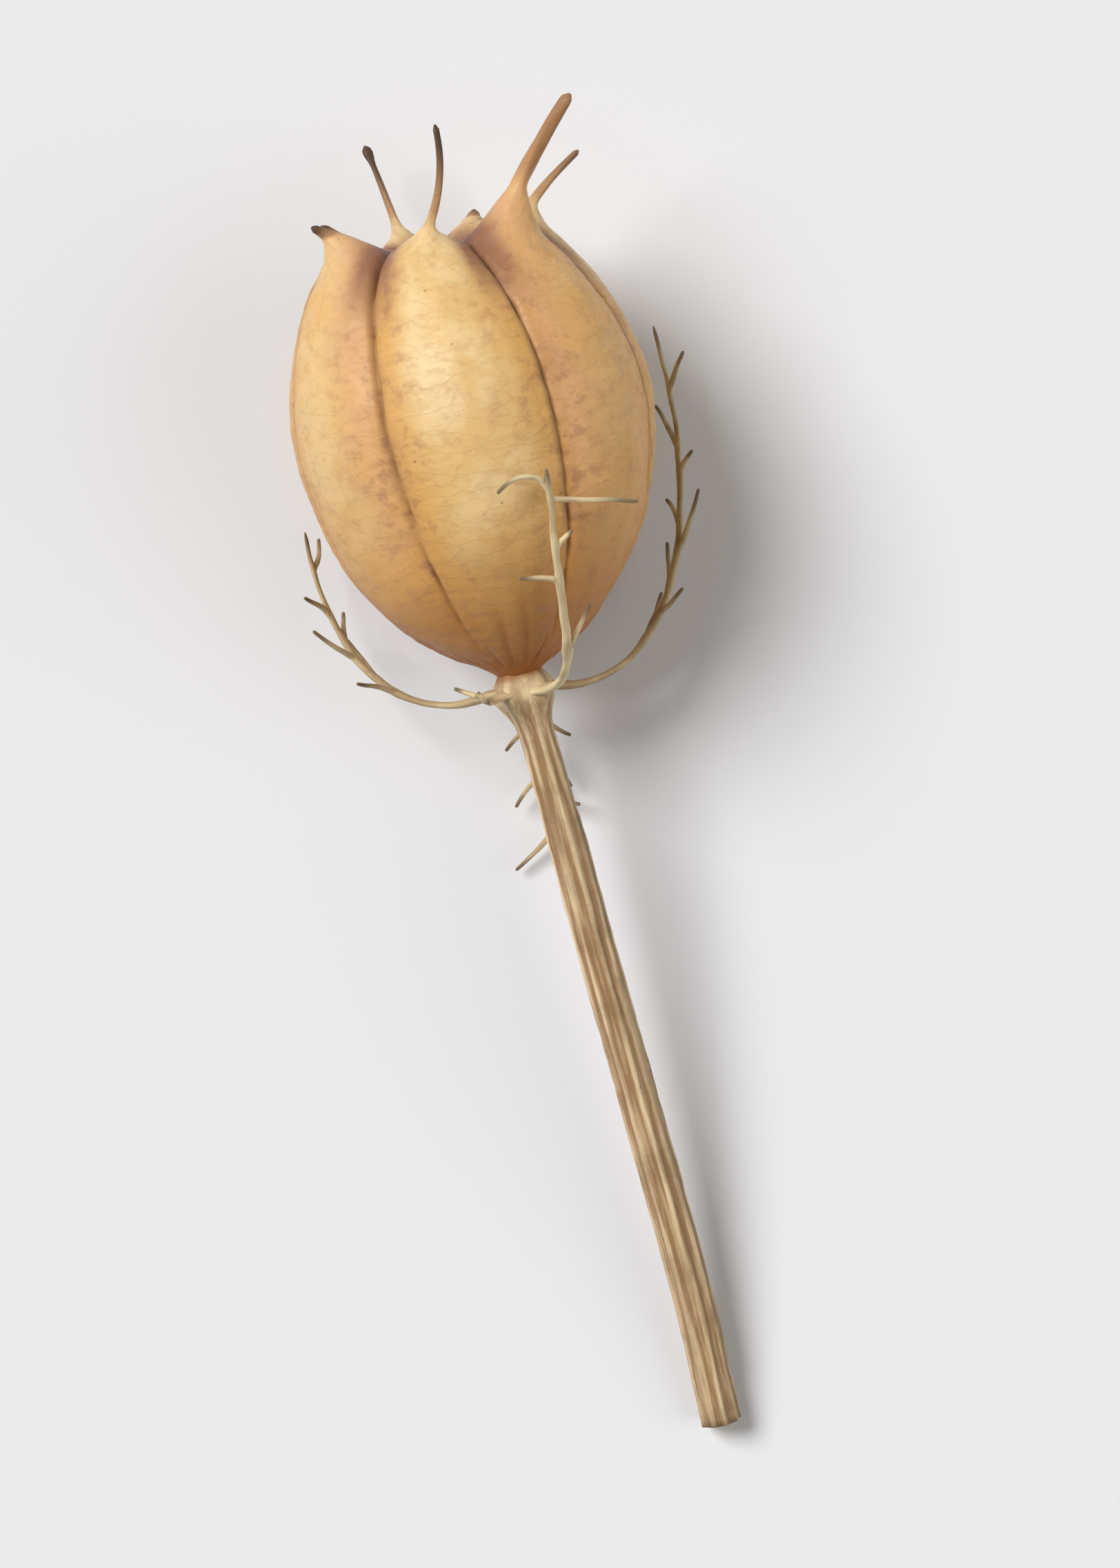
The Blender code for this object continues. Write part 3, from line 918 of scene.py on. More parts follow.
@dataclass(frozen=True)
class StyleShape:
    """Where one style stands and how it runs, worked out from the wall."""

    style: Style
    wall: LobedWall
    collar_width: float = 0.5 * MM
    collar_share: float = 1.9   # the collar's height as a share of the style's radius
    patch_radius: float = 0.6 * MM
    root_depth: float = 1.3 * MM
    straight: float = 0.2
    bend: float = 0.5
    taper: float = 1.3
    flare: float = 0.34 * MM
    turning: float = 1.6 * MM
    ridges: int = 3
    ridge_height: float = 0.1
    ridge_start: float = 0.5 * MM
    bluntness: float = 0.3      # least radius of the rounded tip, as a share of the style's
    line_points: int = 200
    kept_points: int = 90
    knob_radius: float = 0.14 * MM
    knob_length: float = 0.5 * MM

    @cached_property
    def phase(self) -> float:
        """The lobe's phase."""
        return FULL_TURN * self.style.lobe / self.wall.lobes

    @cached_property
    def azimuth(self) -> float:
        """The angle round the pod's axis at which the style stands."""
        return float(self.wall.azimuth(self.phase, self.wall.rim_share))

    @cached_property
    def foot(self) -> Array:
        """Where the style's middle meets the wall."""
        return self.wall.at(np.array([self.wall.rim_share]), np.array([self.phase]))[0]

    @cached_property
    def wall_axes(self) -> tuple[Array, Array]:
        """The directions round the wall and up it at the foot."""
        aside = np.array((math.cos(self.azimuth), math.sin(self.azimuth), 0.0))
        normal = self.wall.normal(np.array([self.wall.rim_share]), np.array([self.phase]))[0]
        return aside, np.cross(normal, aside)

    def direction(self, lean: float) -> Array:
        """The direction of the style where it leans from the pod's axis by an angle in degrees."""
        heading, angle = self.azimuth + math.radians(self.style.turn), math.radians(lean)
        return around(heading, math.sin(angle), math.cos(angle))

    def lift(self, distance: Array) -> Array:
        """How far the wall is drawn up at a distance from the foot."""
        return (self.style.peak * MM * hump(distance, self.style.cone * MM)
                + self.collar_share * self.style.radius * MM * np.exp(-distance / self.collar_width))

    @cached_property
    def path(self) -> Sweep:
        """The style's centreline, from the height of its collar to its tip."""
        root, tip = self.direction(self.style.lean), self.direction(self.style.lean + self.style.curl)
        length = self.style.length * MM
        bend = self.foot + root * length * self.bend
        handles = (self.foot - root * self.root_depth, self.foot + root * length * self.straight,
                   bend, bend + tip * length * (1 - self.bend))
        points = bezier(handles, self.line_points)
        start = float(self.lift(np.array(self.patch_radius))) + self.root_depth
        whole = Sweep.along(points, self.wall_axes[0])
        kept = whole.read(points, np.linspace(start, whole.length, self.kept_points))
        return Sweep.along(kept, self.wall_axes[0])

    def radius_at(self, distance: Array) -> Array:
        """How thick the style is.

        Args:
            distance: distances above its collar.

        Returns:
            Its radius there.
        """
        share = np.clip(distance / self.path.length, 0.0, 1.0)
        root, tip = self.style.radius * MM, self.style.tip_radius * MM
        radius = tip + (root - tip) * (1 - share) ** self.taper
        radius = radius + (self.patch_radius - root) * np.exp(-distance / self.flare)
        if self.style.tip is Tip.KNOBBED:
            below_tip = self.path.length - distance
            radius = radius + self.knob_radius * hump(below_tip - self.knob_length, self.knob_length)
        return radius

    def place(self, distance: Array, disc: Array) -> Array:
        """Points of the style.

        Args:
            distance: distances above the collar.
            disc: places on a disc of radius 1 across the style, one a row.

        Returns:
            One point of the pod's frame a row.
        """
        angle = np.arctan2(disc[:, 1], disc[:, 0])
        rounding = np.sqrt(np.clip((self.path.length - distance) / self.radius_at(distance), 0.0, 1.0))
        ridge = np.cos(self.ridges * angle + distance / MM) * smoothstep(0.0, self.ridge_start, distance)
        rounding = np.maximum(rounding, self.bluntness)
        radius = (self.radius_at(distance) * (1 + self.ridge_height * ridge) * rounding)[:, None]
        aside, above = self.wall_axes
        in_wall = disc[:, :1] * aside + disc[:, 1:] * above
        square = (self.path.read(self.path.right, distance) * disc[:, :1]
                  + self.path.read(self.path.up, distance) * disc[:, 1:])
        turned = smoothstep(0.0, self.turning, distance)[:, None]
        across = in_wall * (1 - turned) + square * turned
        return self.path.read(self.path.points, distance) + radius * across


STYLES = (
    Style(lobe=0, lean=36, turn=75, length=6.9, radius=0.25, tip_radius=0.18, curl=-40, peak=0.3, cone=0.9),
    Style(lobe=1, lean=32, turn=18, length=8.7, radius=0.48, tip_radius=0.36, curl=14, peak=2.2, cone=1.6,
          darkness=0.35),
    Style(lobe=2, lean=46, turn=-8, length=5.4, radius=0.3, tip_radius=0.18, curl=10, peak=0.9, cone=1.3,
          darkness=0.6),
    Style(lobe=3, lean=48, turn=12, length=1.3, radius=0.34, tip_radius=0.26, curl=10, peak=0.3, cone=1.1,
          tip=Tip.BROKEN),
    Style(lobe=4, lean=20, turn=13, length=6.2, radius=0.25, tip_radius=0.15, curl=4, peak=0.3, cone=0.9,
          tip=Tip.KNOBBED),
    Style(lobe=5, lean=36, turn=10, length=2.1, radius=0.36, tip_radius=0.26, curl=12, peak=0.9, cone=1.3,
          tip=Tip.BROKEN),
    Style(lobe=6, lean=50, turn=-14, length=2.7, radius=0.44, tip_radius=0.22, curl=8, peak=1.3, cone=1.4,
          tip=Tip.BROKEN),
)


@dataclass(frozen=True)
class WallRelief:
    """The fine relief of points of the papery wall, and the marks that their colours follow."""

    wall: LobedWall
    share: Array                        # the points' shares of the outline
    phase: Array                        # their lobe phases
    skin_radius: float = 10.0           # of the round coordinates that patterns follow
    crease_depth: float = 0.24 * MM
    crease_width: float = 0.13 * MM
    crease_wander: float = 0.12 * MM
    crease_waves: float = 14.0          # how often a crease wanders along the outline
    crease_apart: float = 7.3           # how far apart two creases are in the noise that they follow
    crease_breaks: float = 1.7          # how often it is broken for each time that it wanders
    break_offset: float = 31.0          # keeps the breaks' noise apart from the wander's
    crease_strength: float = 0.62       # its usual depth, as a share of the deepest, and how that varies
    crease_variation: float = 0.6
    crease_least: float = 0.2
    crease_start: tuple[float, float] = (0.1, 0.3)
    crease_end: tuple[float, float] = (0.99, 0.94)
    lip_height: float = 0.07 * MM
    lip_place: float = 0.42 * MM
    lip_width: float = 0.24 * MM
    wrinkle_depth: float = 0.04 * MM
    wrinkle_reach: float = 2.2 * MM
    wrinkle_rest: float = 0.35          # what is left of the wrinkles away from the grooves
    wrinkle_scale: tuple[float, float, float] = (0.5, 0.5, 1.9)
    paper_depth: float = 0.07 * MM
    paper_size: float = 2.4 * MM
    fine_depth: float = 0.45            # depth and size of the finer unevenness, as shares of the coarser
    fine_size: float = 0.42
    pleat_depth: float = 0.1 * MM
    pleats: int = 26
    pleat_waver: float = 0.09
    pleat_reach: float = 0.2            # how far up the outline the folds run, and how that varies
    pleat_variation: float = 0.07
    pleat_start: tuple[float, float] = (0.03, 0.08)
    pleat_fade: float = 0.12
    midrib_height: float = 0.05 * MM
    midrib_width: float = 0.3 * MM
    midrib_start: tuple[float, float] = (0.12, 0.3)
    plain_radius: float = 2 * MM        # the relief fades out this near to the axis
    band_place: float = 1.1 * MM
    band_width: float = 1.5 * MM
    band_wander: float = 0.8 * MM
    band_scale: tuple[float, float, float] = (0.8, 0.8, 0.6)
    band_start: tuple[float, float] = (0.2, 0.5)
    band_strength: float = 0.6
    # painted shade along each groove
    groove_shade_width: float = 0.45 * MM
    groove_shade_start: tuple[float, float] = (0.22, 0.5)
    groove_shade_strength: float = 0.34
    # amber of each lobe: the right-hand lobe's is painted warm shade, the others' differ from lobe to lobe
    lobe_amber_and_shade: tuple[float, ...] = (0.18, 0.45, 0.1, 0.22, 0.08, 0.2, 0.32)

    @cached_property
    def skin(self) -> Array:
        """Coordinates along the wall, in millimetres, for patterns that follow it."""
        return np.stack((self.skin_radius * np.cos(self.phase), self.skin_radius * np.sin(self.phase),
                         self.share * self.wall.outline.length / MM), axis=-1)

    @cached_property
    def crease(self) -> tuple[Array, Array]:
        """Distance from the nearest wandering crease, and its depth as a share of the deepest."""
        gap, groove = self.wall.groove_gap(self.share, self.phase)
        along, own = self.share * self.crease_waves, groove * self.crease_apart
        wander = noise_of(along, own, 0.0) * self.crease_wander
        offset = self.break_offset
        broken = noise_of(along * self.crease_breaks + offset, own + offset, offset)
        depth = np.clip(self.crease_strength + self.crease_variation * broken, self.crease_least, 1.0)
        ends = smoothstep(*self.crease_start, self.share) * smoothstep(*self.crease_end, self.share)
        return gap + wander, depth * ends

    @cached_property
    def pleat(self) -> Array:
        """The short folds that run up from the base, from 0 to 1."""
        waver = noise_of(np.cos(self.phase) * 3, np.sin(self.phase) * 3, self.share * 6)
        fold = 0.5 - 0.5 * np.cos(self.pleats * (self.phase + self.pleat_waver * waver))
        reach = self.pleat_reach + self.pleat_variation * np.sin(5 * self.phase + 1.3)
        top = smoothstep(0.0, self.pleat_fade, reach - self.share)
        return fold ** 3 * smoothstep(*self.pleat_start, self.share) * top

    def height(self, place: Array) -> Array:
        """How far the fine relief stands out of the plain wall.

        Args:
            place: the plain wall's points, one a row.

        Returns:
            The height of the relief at each point.
        """
        gap, depth = self.crease
        radius = self.wall.outline.at(self.share)[0]
        lobes = self.wall.lobes
        from_middle = ((lobes * self.phase / FULL_TURN + 0.5) % 1.0 - 0.5) * FULL_TURN / lobes * radius
        midrib = hump(from_middle, self.midrib_width) * smoothstep(*self.midrib_start, self.share)
        paper = noise_at(place, self.paper_size)
        fine = noise_at(place + 1.0, self.paper_size * self.fine_size)
        wrinkles = noise_at(self.skin * self.wrinkle_scale, 1.0)
        relief = (self.lip_height * hump(np.abs(gap) - self.lip_place, self.lip_width) * depth
                  - self.crease_depth * hump(gap, self.crease_width) * depth
                  + self.wrinkle_depth * wrinkles * (self.wrinkle_rest + hump(gap, self.wrinkle_reach))
                  + self.paper_depth * (paper + self.fine_depth * fine)
                  - self.pleat_depth * self.pleat + self.midrib_height * midrib)
        return relief * np.minimum(1.0, radius / self.plain_radius)

    @property
    def marks(self) -> dict[str, Array]:
        """The masks that the capsule's colours follow, by the attribute's name."""
        gap, depth = self.crease
        turns = self.wall.lobes * self.phase / FULL_TURN
        lobe, groove = np.round(turns) % self.wall.lobes, np.floor(turns)
        in_front = np.where((groove == 0) | (groove == -1), 1.0, 0.3 + 0.15 * np.sin(groove * 2.1))
        ragged = self.band_wander * noise_at(self.skin * self.band_scale, 1.0)
        band = hump(gap - self.band_place + ragged, self.band_width) * in_front
        # painted shade along each groove
        groove_shade = self.groove_shade_strength * hump(gap, self.groove_shade_width)
        return {
            "share": self.share,
            "lobe_middle": np.abs(np.cos(turns * math.pi)),
            "lobe_amber_and_shade": np.array(self.lobe_amber_and_shade)[lobe.astype(int)],
            "band": band * smoothstep(*self.band_start, self.share) * self.band_strength,
            # the dark suture line of each crease, and painted shade along the groove round it
            "crease": np.maximum(depth * hump(gap, self.crease_width * 0.85) * 0.8,
                                 groove_shade * smoothstep(*self.groove_shade_start, self.share)),
            # painted shade in the folds of the pleats
            "pleat": self.pleat * 0.7,
        }


@dataclass(frozen=True)
class Capsule:
    """The capsule: a lobed papery wall with a style extruded from the top of each lobe."""

    wall: LobedWall
    lying: LyingDown
    columns_per_lobe: int = 48
    rings: int = 200
    gathering: float = 0.55     # how strongly the mesh's columns crowd towards the grooves
    neck_drop: float = 1.0 * MM     # how far the middle of the base is drawn down to the stalk
    neck_width: float = 1.5 * MM
    patch: int = 3              # columns and rings on each side of a style's foot that are drawn up into it
    style_steps: int = 22
    drawn_reach: tuple[float, float] = (4.5 * MM, 2.5 * MM)     # where a lobe starts to be drawn up, and is
    style_fibres: float = 8.0   # how far a style's fibres run on in the skin's coordinates
    LIFT = 10.0                 # how far one extrusion lifts a style's end while the mesh is still a sphere

    def grid(self, ball: Array) -> tuple[Array, Array, Array]:
        """Reads the wall's coordinates from the sphere that it is modelled on.

        Args:
            ball: the sphere's points, whose styles are stacks of lifts above it.

        Returns:
            The share of the outline, the unevened phase and the number of lifts of each point.
        """
        lifts = np.round(ball[:, 2] / self.LIFT)
        upright = np.clip(ball[:, 2] - lifts * self.LIFT, -1.0, 1.0)
        return 1 - np.arccos(upright) / math.pi, np.arctan2(ball[:, 1], ball[:, 0]), lifts

    def disc(self, share: Array, raw: Array, style: Style) -> Array:
        """Where points of a style's square patch come on the round style.

        Args:
            share: shares of the outline.
            raw: the sphere's own angles.
            style: the style.

        Returns:
            Places on a disc of radius 1, one a row, and infinity for points outside the patch.
        """
        column = FULL_TURN / (self.wall.lobes * self.columns_per_lobe)
        turned = (raw - FULL_TURN * style.lobe / self.wall.lobes + math.pi) % FULL_TURN - math.pi
        aside = turned / column / self.patch
        above = (share - self.wall.rim_share) * self.rings / self.patch
        inside_aside, inside_above = np.clip(aside, -1, 1), np.clip(above, -1, 1)
        disc = np.stack((aside * np.sqrt(1 - inside_above ** 2 / 2),
                         above * np.sqrt(1 - inside_aside ** 2 / 2)), axis=-1)
        disc[np.maximum(np.abs(aside), np.abs(above)) > 1.01] = np.inf
        return disc

    def model(self) -> bpy.types.Object:
        """Adds the sphere and extrudes a style from a patch of faces at the top of each lobe.

        Returns:
            The capsule's mesh before it is shaped.
        """
        bpy.ops.object.select_all(action="DESELECT")
        bpy.ops.mesh.primitive_uv_sphere_add(segments=self.wall.lobes * self.columns_per_lobe,
                                             ring_count=self.rings, radius=1.0, location=(0, 0, 0))
        capsule = named_primitive("capsule_skin")
        share, raw, _ = self.grid(face_centres(capsule.data) / lengths(face_centres(capsule.data)))
        chosen = np.zeros(len(share), bool)
        for style in STYLES:
            chosen |= np.isfinite(self.disc(share, raw, style)).all(axis=1)
        with editing(capsule):
            select_faces(capsule, np.flatnonzero(chosen))
            extrude_selected((0, 0, self.LIFT), self.style_steps)
        return capsule

    def build(self, finish: CapsuleFinish) -> bpy.types.Object:
        """Builds the capsule and dresses it.

        Args:
            finish: its finish.

        Returns:
            The finished piece.
        """
        capsule = self.model()
        share, raw, lifts = self.grid(places_of(capsule.data))
        phase = raw + self.gathering / self.wall.lobes * np.sin(self.wall.lobes * raw)
        relief = WallRelief(self.wall, share, phase)
        plain = self.wall.at(share, phase)
        places = plain + self.wall.normal(share, phase) * relief.height(plain)[:, None]
        places[:, 2] -= self.neck_drop * hump(self.wall.outline.at(share)[0], self.neck_width) * (share < 0.5)
        shapes = [StyleShape(style, self.wall) for style in STYLES]
        for shape in shapes:
            away = lengths(plain - shape.foot)
            drawn = shape.lift(away) * smoothstep(*self.drawn_reach, away)
            places = places + shape.direction(shape.style.lean) * drawn
        style_rise, style_dark = np.zeros(len(places)), np.zeros(len(places))
        for shape in shapes:
            disc = self.disc(share, raw, shape.style)
            rim = np.isclose(lengths(disc)[:, 0], 1.0, atol=1e-3)
            own = np.isfinite(disc).all(axis=1) & ((lifts > 0) | rim)
            distance = shape.path.length * lifts[own] / self.style_steps
            places[own] = shape.place(distance, disc[own])
            style_rise[own] = distance / shape.path.length
            style_dark[own] = shape.style.darkness
        move_to(capsule.data, self.lying.lay(places))
        skin = relief.skin + np.outer(style_rise, (0, 0, self.style_fibres))
        give_attributes(capsule.data, style_rise=style_rise, style_dark=style_dark, skin=skin,
                        **relief.marks)
        finish_piece(capsule, Slot.CAPSULE, finish.build(), "capsule")
        return capsule


@dataclass(frozen=True)
class Stalk:
    """The ribbed stalk, from inside the capsule's base to its cut end on the floor; sizes in metres."""

    lying: LyingDown
    bract_azimuths: tuple[float, ...]
    length: float = 47.0 * MM
    joint_gap: float = 0.3 * MM
    top_overlap: float = 0.6 * MM
    top_radius: float = 0.9 * MM
    end_radius: float = 1.2 * MM
    widening: float = 8 * MM
    neck_turn: float = math.radians(5.0)
    end_turn: float = math.radians(1.5)
    end_slope: float = math.radians(12.0)
    ribs: int = 9
    rib_height: float = 0.13
    rib_sharpness: float = 0.27
    rib_wander: float = 0.2         # how far a rib wanders, as a share of the way to the next
    rib_wave: float = 14 * MM
    rib_swell: float = 6 * MM       # how long its higher and lower stretches are
    rib_swell_offset: float = 50.0
    rib_mean: float = 0.75          # its usual height as a share of the highest, and how that varies
    rib_variation: float = 0.35
    rib_base: float = 0.55          # how much of a rib's height is taken off the stalk between the ribs
    rib_knot_loss: float = 0.7      # how much of the ribs goes lost in the knot
    rough_sizes: tuple[tuple[float, float], ...] = ((0.9 * MM, 0.035 * MM), (2.5 * MM, 0.05 * MM))
    knot_roughness: tuple[float, float] = (0.7 * MM, 0.14 * MM)
    rib_columns: int = 14
    rings: int = 170
    crowding: float = 1.8       # above 1 crowds the rings towards the knot
    knot_radius: float = 1.5 * MM
    knot_depth: float = 1.3 * MM
    knot_length: float = 1.1 * MM
    collar_length: float = 0.5 * MM     # stretch below the capsule that takes its brown, also painted shade where the stalk meets it
    bract_bulge: float = 0.5 * MM
    bract_bulge_turn: float = 0.4
    bract_bulge_length: float = 1.5 * MM
    bract_bulge_drop: float = 0.3 * MM
    sway: float = 0.22 * MM
    sway_size: float = 11 * MM
    bark_width: float = 0.16    # share of the radius that the rim of the cut end takes up
    pith_depth: float = 0.25 * MM

    def path(self) -> Sweep:
        """The stalk's centreline, from inside the capsule to the cut end.

        Returns:
            The sweep along it.
        """
        top = self.lying.lay(np.array([(0.0, 0.0, -self.joint_gap)]))[0]
        down = self.lying.turn @ np.array((0.0, 0.0, -1.0))
        neck = np.array((math.sin(self.neck_turn), down[1], down[2]))
        neck /= np.linalg.norm(neck)
        arriving = np.array((math.sin(self.end_turn), -1.0, -math.tan(self.end_slope)))
        arriving /= np.linalg.norm(arriving)
        turn = (self.neck_turn + self.end_turn) / 2
        drop = self.end_radius * math.cos(self.end_slope) - top[2]
        run = math.sqrt(self.length ** 2 - drop ** 2)
        end = top + np.array((run * math.sin(turn), -run * math.cos(turn), drop))
        third = self.length / 3
        line = bezier((top, top + neck * third, end - arriving * third, end), 240)
        away = np.linspace(0.0, 1.0, len(line))
        free = smoothstep(0.0, 0.15, away) * smoothstep(1.0, 0.85, away) * self.sway
        line[:, 0] += noise_at(line, self.sway_size) * free
        line[:, 2] += np.abs(noise_at(line + 1.0, self.sway_size)) * free
        line = np.vstack((top - down * self.top_overlap, line))
        return Sweep.along(line, np.array((1.0, 0.0, 0.0)))

    def model(self) -> bpy.types.Object:
        """Extrudes the stalk and sinks the pith into its cut end.

        Returns:
            The stalk as a straight tube of one unit.
        """
        stalk = straight_tube("stalk_skin", self.ribs * self.rib_columns, self.rings)
        ends = face_centres(stalk.data)[:, 2]
        with editing(stalk):
            select_faces(stalk, np.flatnonzero(ends > 0.9999))
            bpy.ops.mesh.inset(thickness=self.bark_width)
            bpy.ops.mesh.inset(thickness=self.bark_width)
            bpy.ops.transform.translate(value=(0, 0, -self.pith_depth / self.length))
            bpy.ops.mesh.inset(thickness=2 * self.bark_width)
        return stalk

    def radius_at(self, below: Array, angle: Array) -> Array:
        """How thick the stalk is without its ribs.

        Args:
            below: distances below the capsule.
            angle: angles round the stalk.

        Returns:
            Its radius there, with the knot and a bulge where each bract grows from it.
        """
        from_knot = below - self.knot_depth
        narrowing = (self.end_radius - self.top_radius) * np.exp(-np.abs(below) / self.widening)
        radius = self.end_radius - narrowing
        radius = radius + (self.knot_radius - radius) * hump(from_knot, self.knot_length)
        bulge = self.bract_bulge * hump(from_knot - self.bract_bulge_drop, self.bract_bulge_length)
        for azimuth in self.bract_azimuths:
            turn = (angle - math.pi / 2 + math.radians(azimuth) + math.pi) % FULL_TURN - math.pi
            radius = radius + bulge * hump(turn, self.bract_bulge_turn)
        return radius

    def rib_at(self, distance: Array, angle: Array) -> tuple[Array, Array]:
        """Reads the ribs.

        Args:
            distance: distances along the stalk.
            angle: angles round it.

        Returns:
            How near each point is to the ridge of a rib, from 0 to 1, and how high the rib is there.
        """
        turns = self.ribs * angle / FULL_TURN
        rib = np.round(turns)
        wander = self.rib_wander * noise_of(distance / self.rib_wave, rib * 3.7, 0.0)
        uneven = noise_of(distance / self.rib_swell + self.rib_swell_offset, rib * 5.1, 0.0)
        return hump(turns - rib + wander, self.rib_sharpness), self.rib_mean + self.rib_variation * uneven

    def build(self, finish: StalkFinish) -> bpy.types.Object:
        """Builds the stalk and dresses it.

        Args:
            finish: its finish.

        Returns:
            The finished piece.
        """
        stalk = self.model()
        tube = places_of(stalk.data)
        path = self.path()
        distance = path.length * tube[:, 2] ** self.crowding
        angle, inside = np.arctan2(tube[:, 1], tube[:, 0]), np.hypot(tube[:, 0], tube[:, 1])
        below = distance - self.top_overlap
        swelling = hump(below - self.knot_depth, self.knot_length)
        radius = self.radius_at(below, angle)
        ridge, tall = self.rib_at(distance, angle)
        shape = 1 + self.rib_height * (ridge * tall * (1 - self.rib_knot_loss * swelling) - self.rib_base)
        width = inside * radius * shape
        places = path.place(distance, width * np.cos(angle), width * np.sin(angle))
        rough = sum(noise_at(places, size) * depth for size, depth in self.rough_sizes)
        size, depth = self.knot_roughness
        rough = rough + noise_at(places + 1.0, size) * depth * swelling
        centre = path.read(path.points, distance)
        outward = (places - centre) / np.maximum(lengths(places - centre), 1e-6)
        places = places + outward * (rough * inside)[:, None]
        places[:, 2] = np.maximum(places[:, 2], 0.0)
        move_to(stalk.data, places)
        cut = smoothstep(0.9999, 1.0, tube[:, 2]) + (tube[:, 2] > 0.99) * (inside < 0.9)
        give_attributes(
            stalk.data, ridge=ridge * tall, knot=swelling,
            collar=hump(np.maximum(below, 0.0), self.collar_length),
            pith=np.clip(cut * smoothstep(1.0, 0.8, inside), 0.0, 1.0),
            skin=np.stack((np.cos(angle) * radius, np.sin(angle) * radius, distance), axis=-1) / MM)
        finish_piece(stalk, Slot.STALK, finish.build(), "stalk")
        return stalk


@dataclass(frozen=True)
class Twig:
    """A side thread: its place on the rachis, side, length in millimetres and angles in degrees."""

    share: float
    side: Side
    length: float
    spread: float
    curl: float


def drawn_twigs(count: int, longest: float, seed: int) -> tuple[Twig, ...]:
    """Draws side threads by turns on either side.

    Args:
        count: how many.
        longest: the longest that one may be, in millimetres.
        seed: seed of the draw.

    Returns:
        The threads, from the lowest to the highest.
    """
    draw = random.Random(seed)
    lowest, highest = 0.36, 0.95
    twigs = []
    for index in range(count):
        share = lowest + (highest - lowest) * (index + draw.uniform(0.1, 0.7)) / count
        length = longest * draw.uniform(0.5, 1.0)
        side = Side.LEFT if index % 2 else Side.RIGHT
        twigs.append(Twig(share, side, length, draw.uniform(35, 70), draw.uniform(-45, 30)))
    return tuple(twigs)


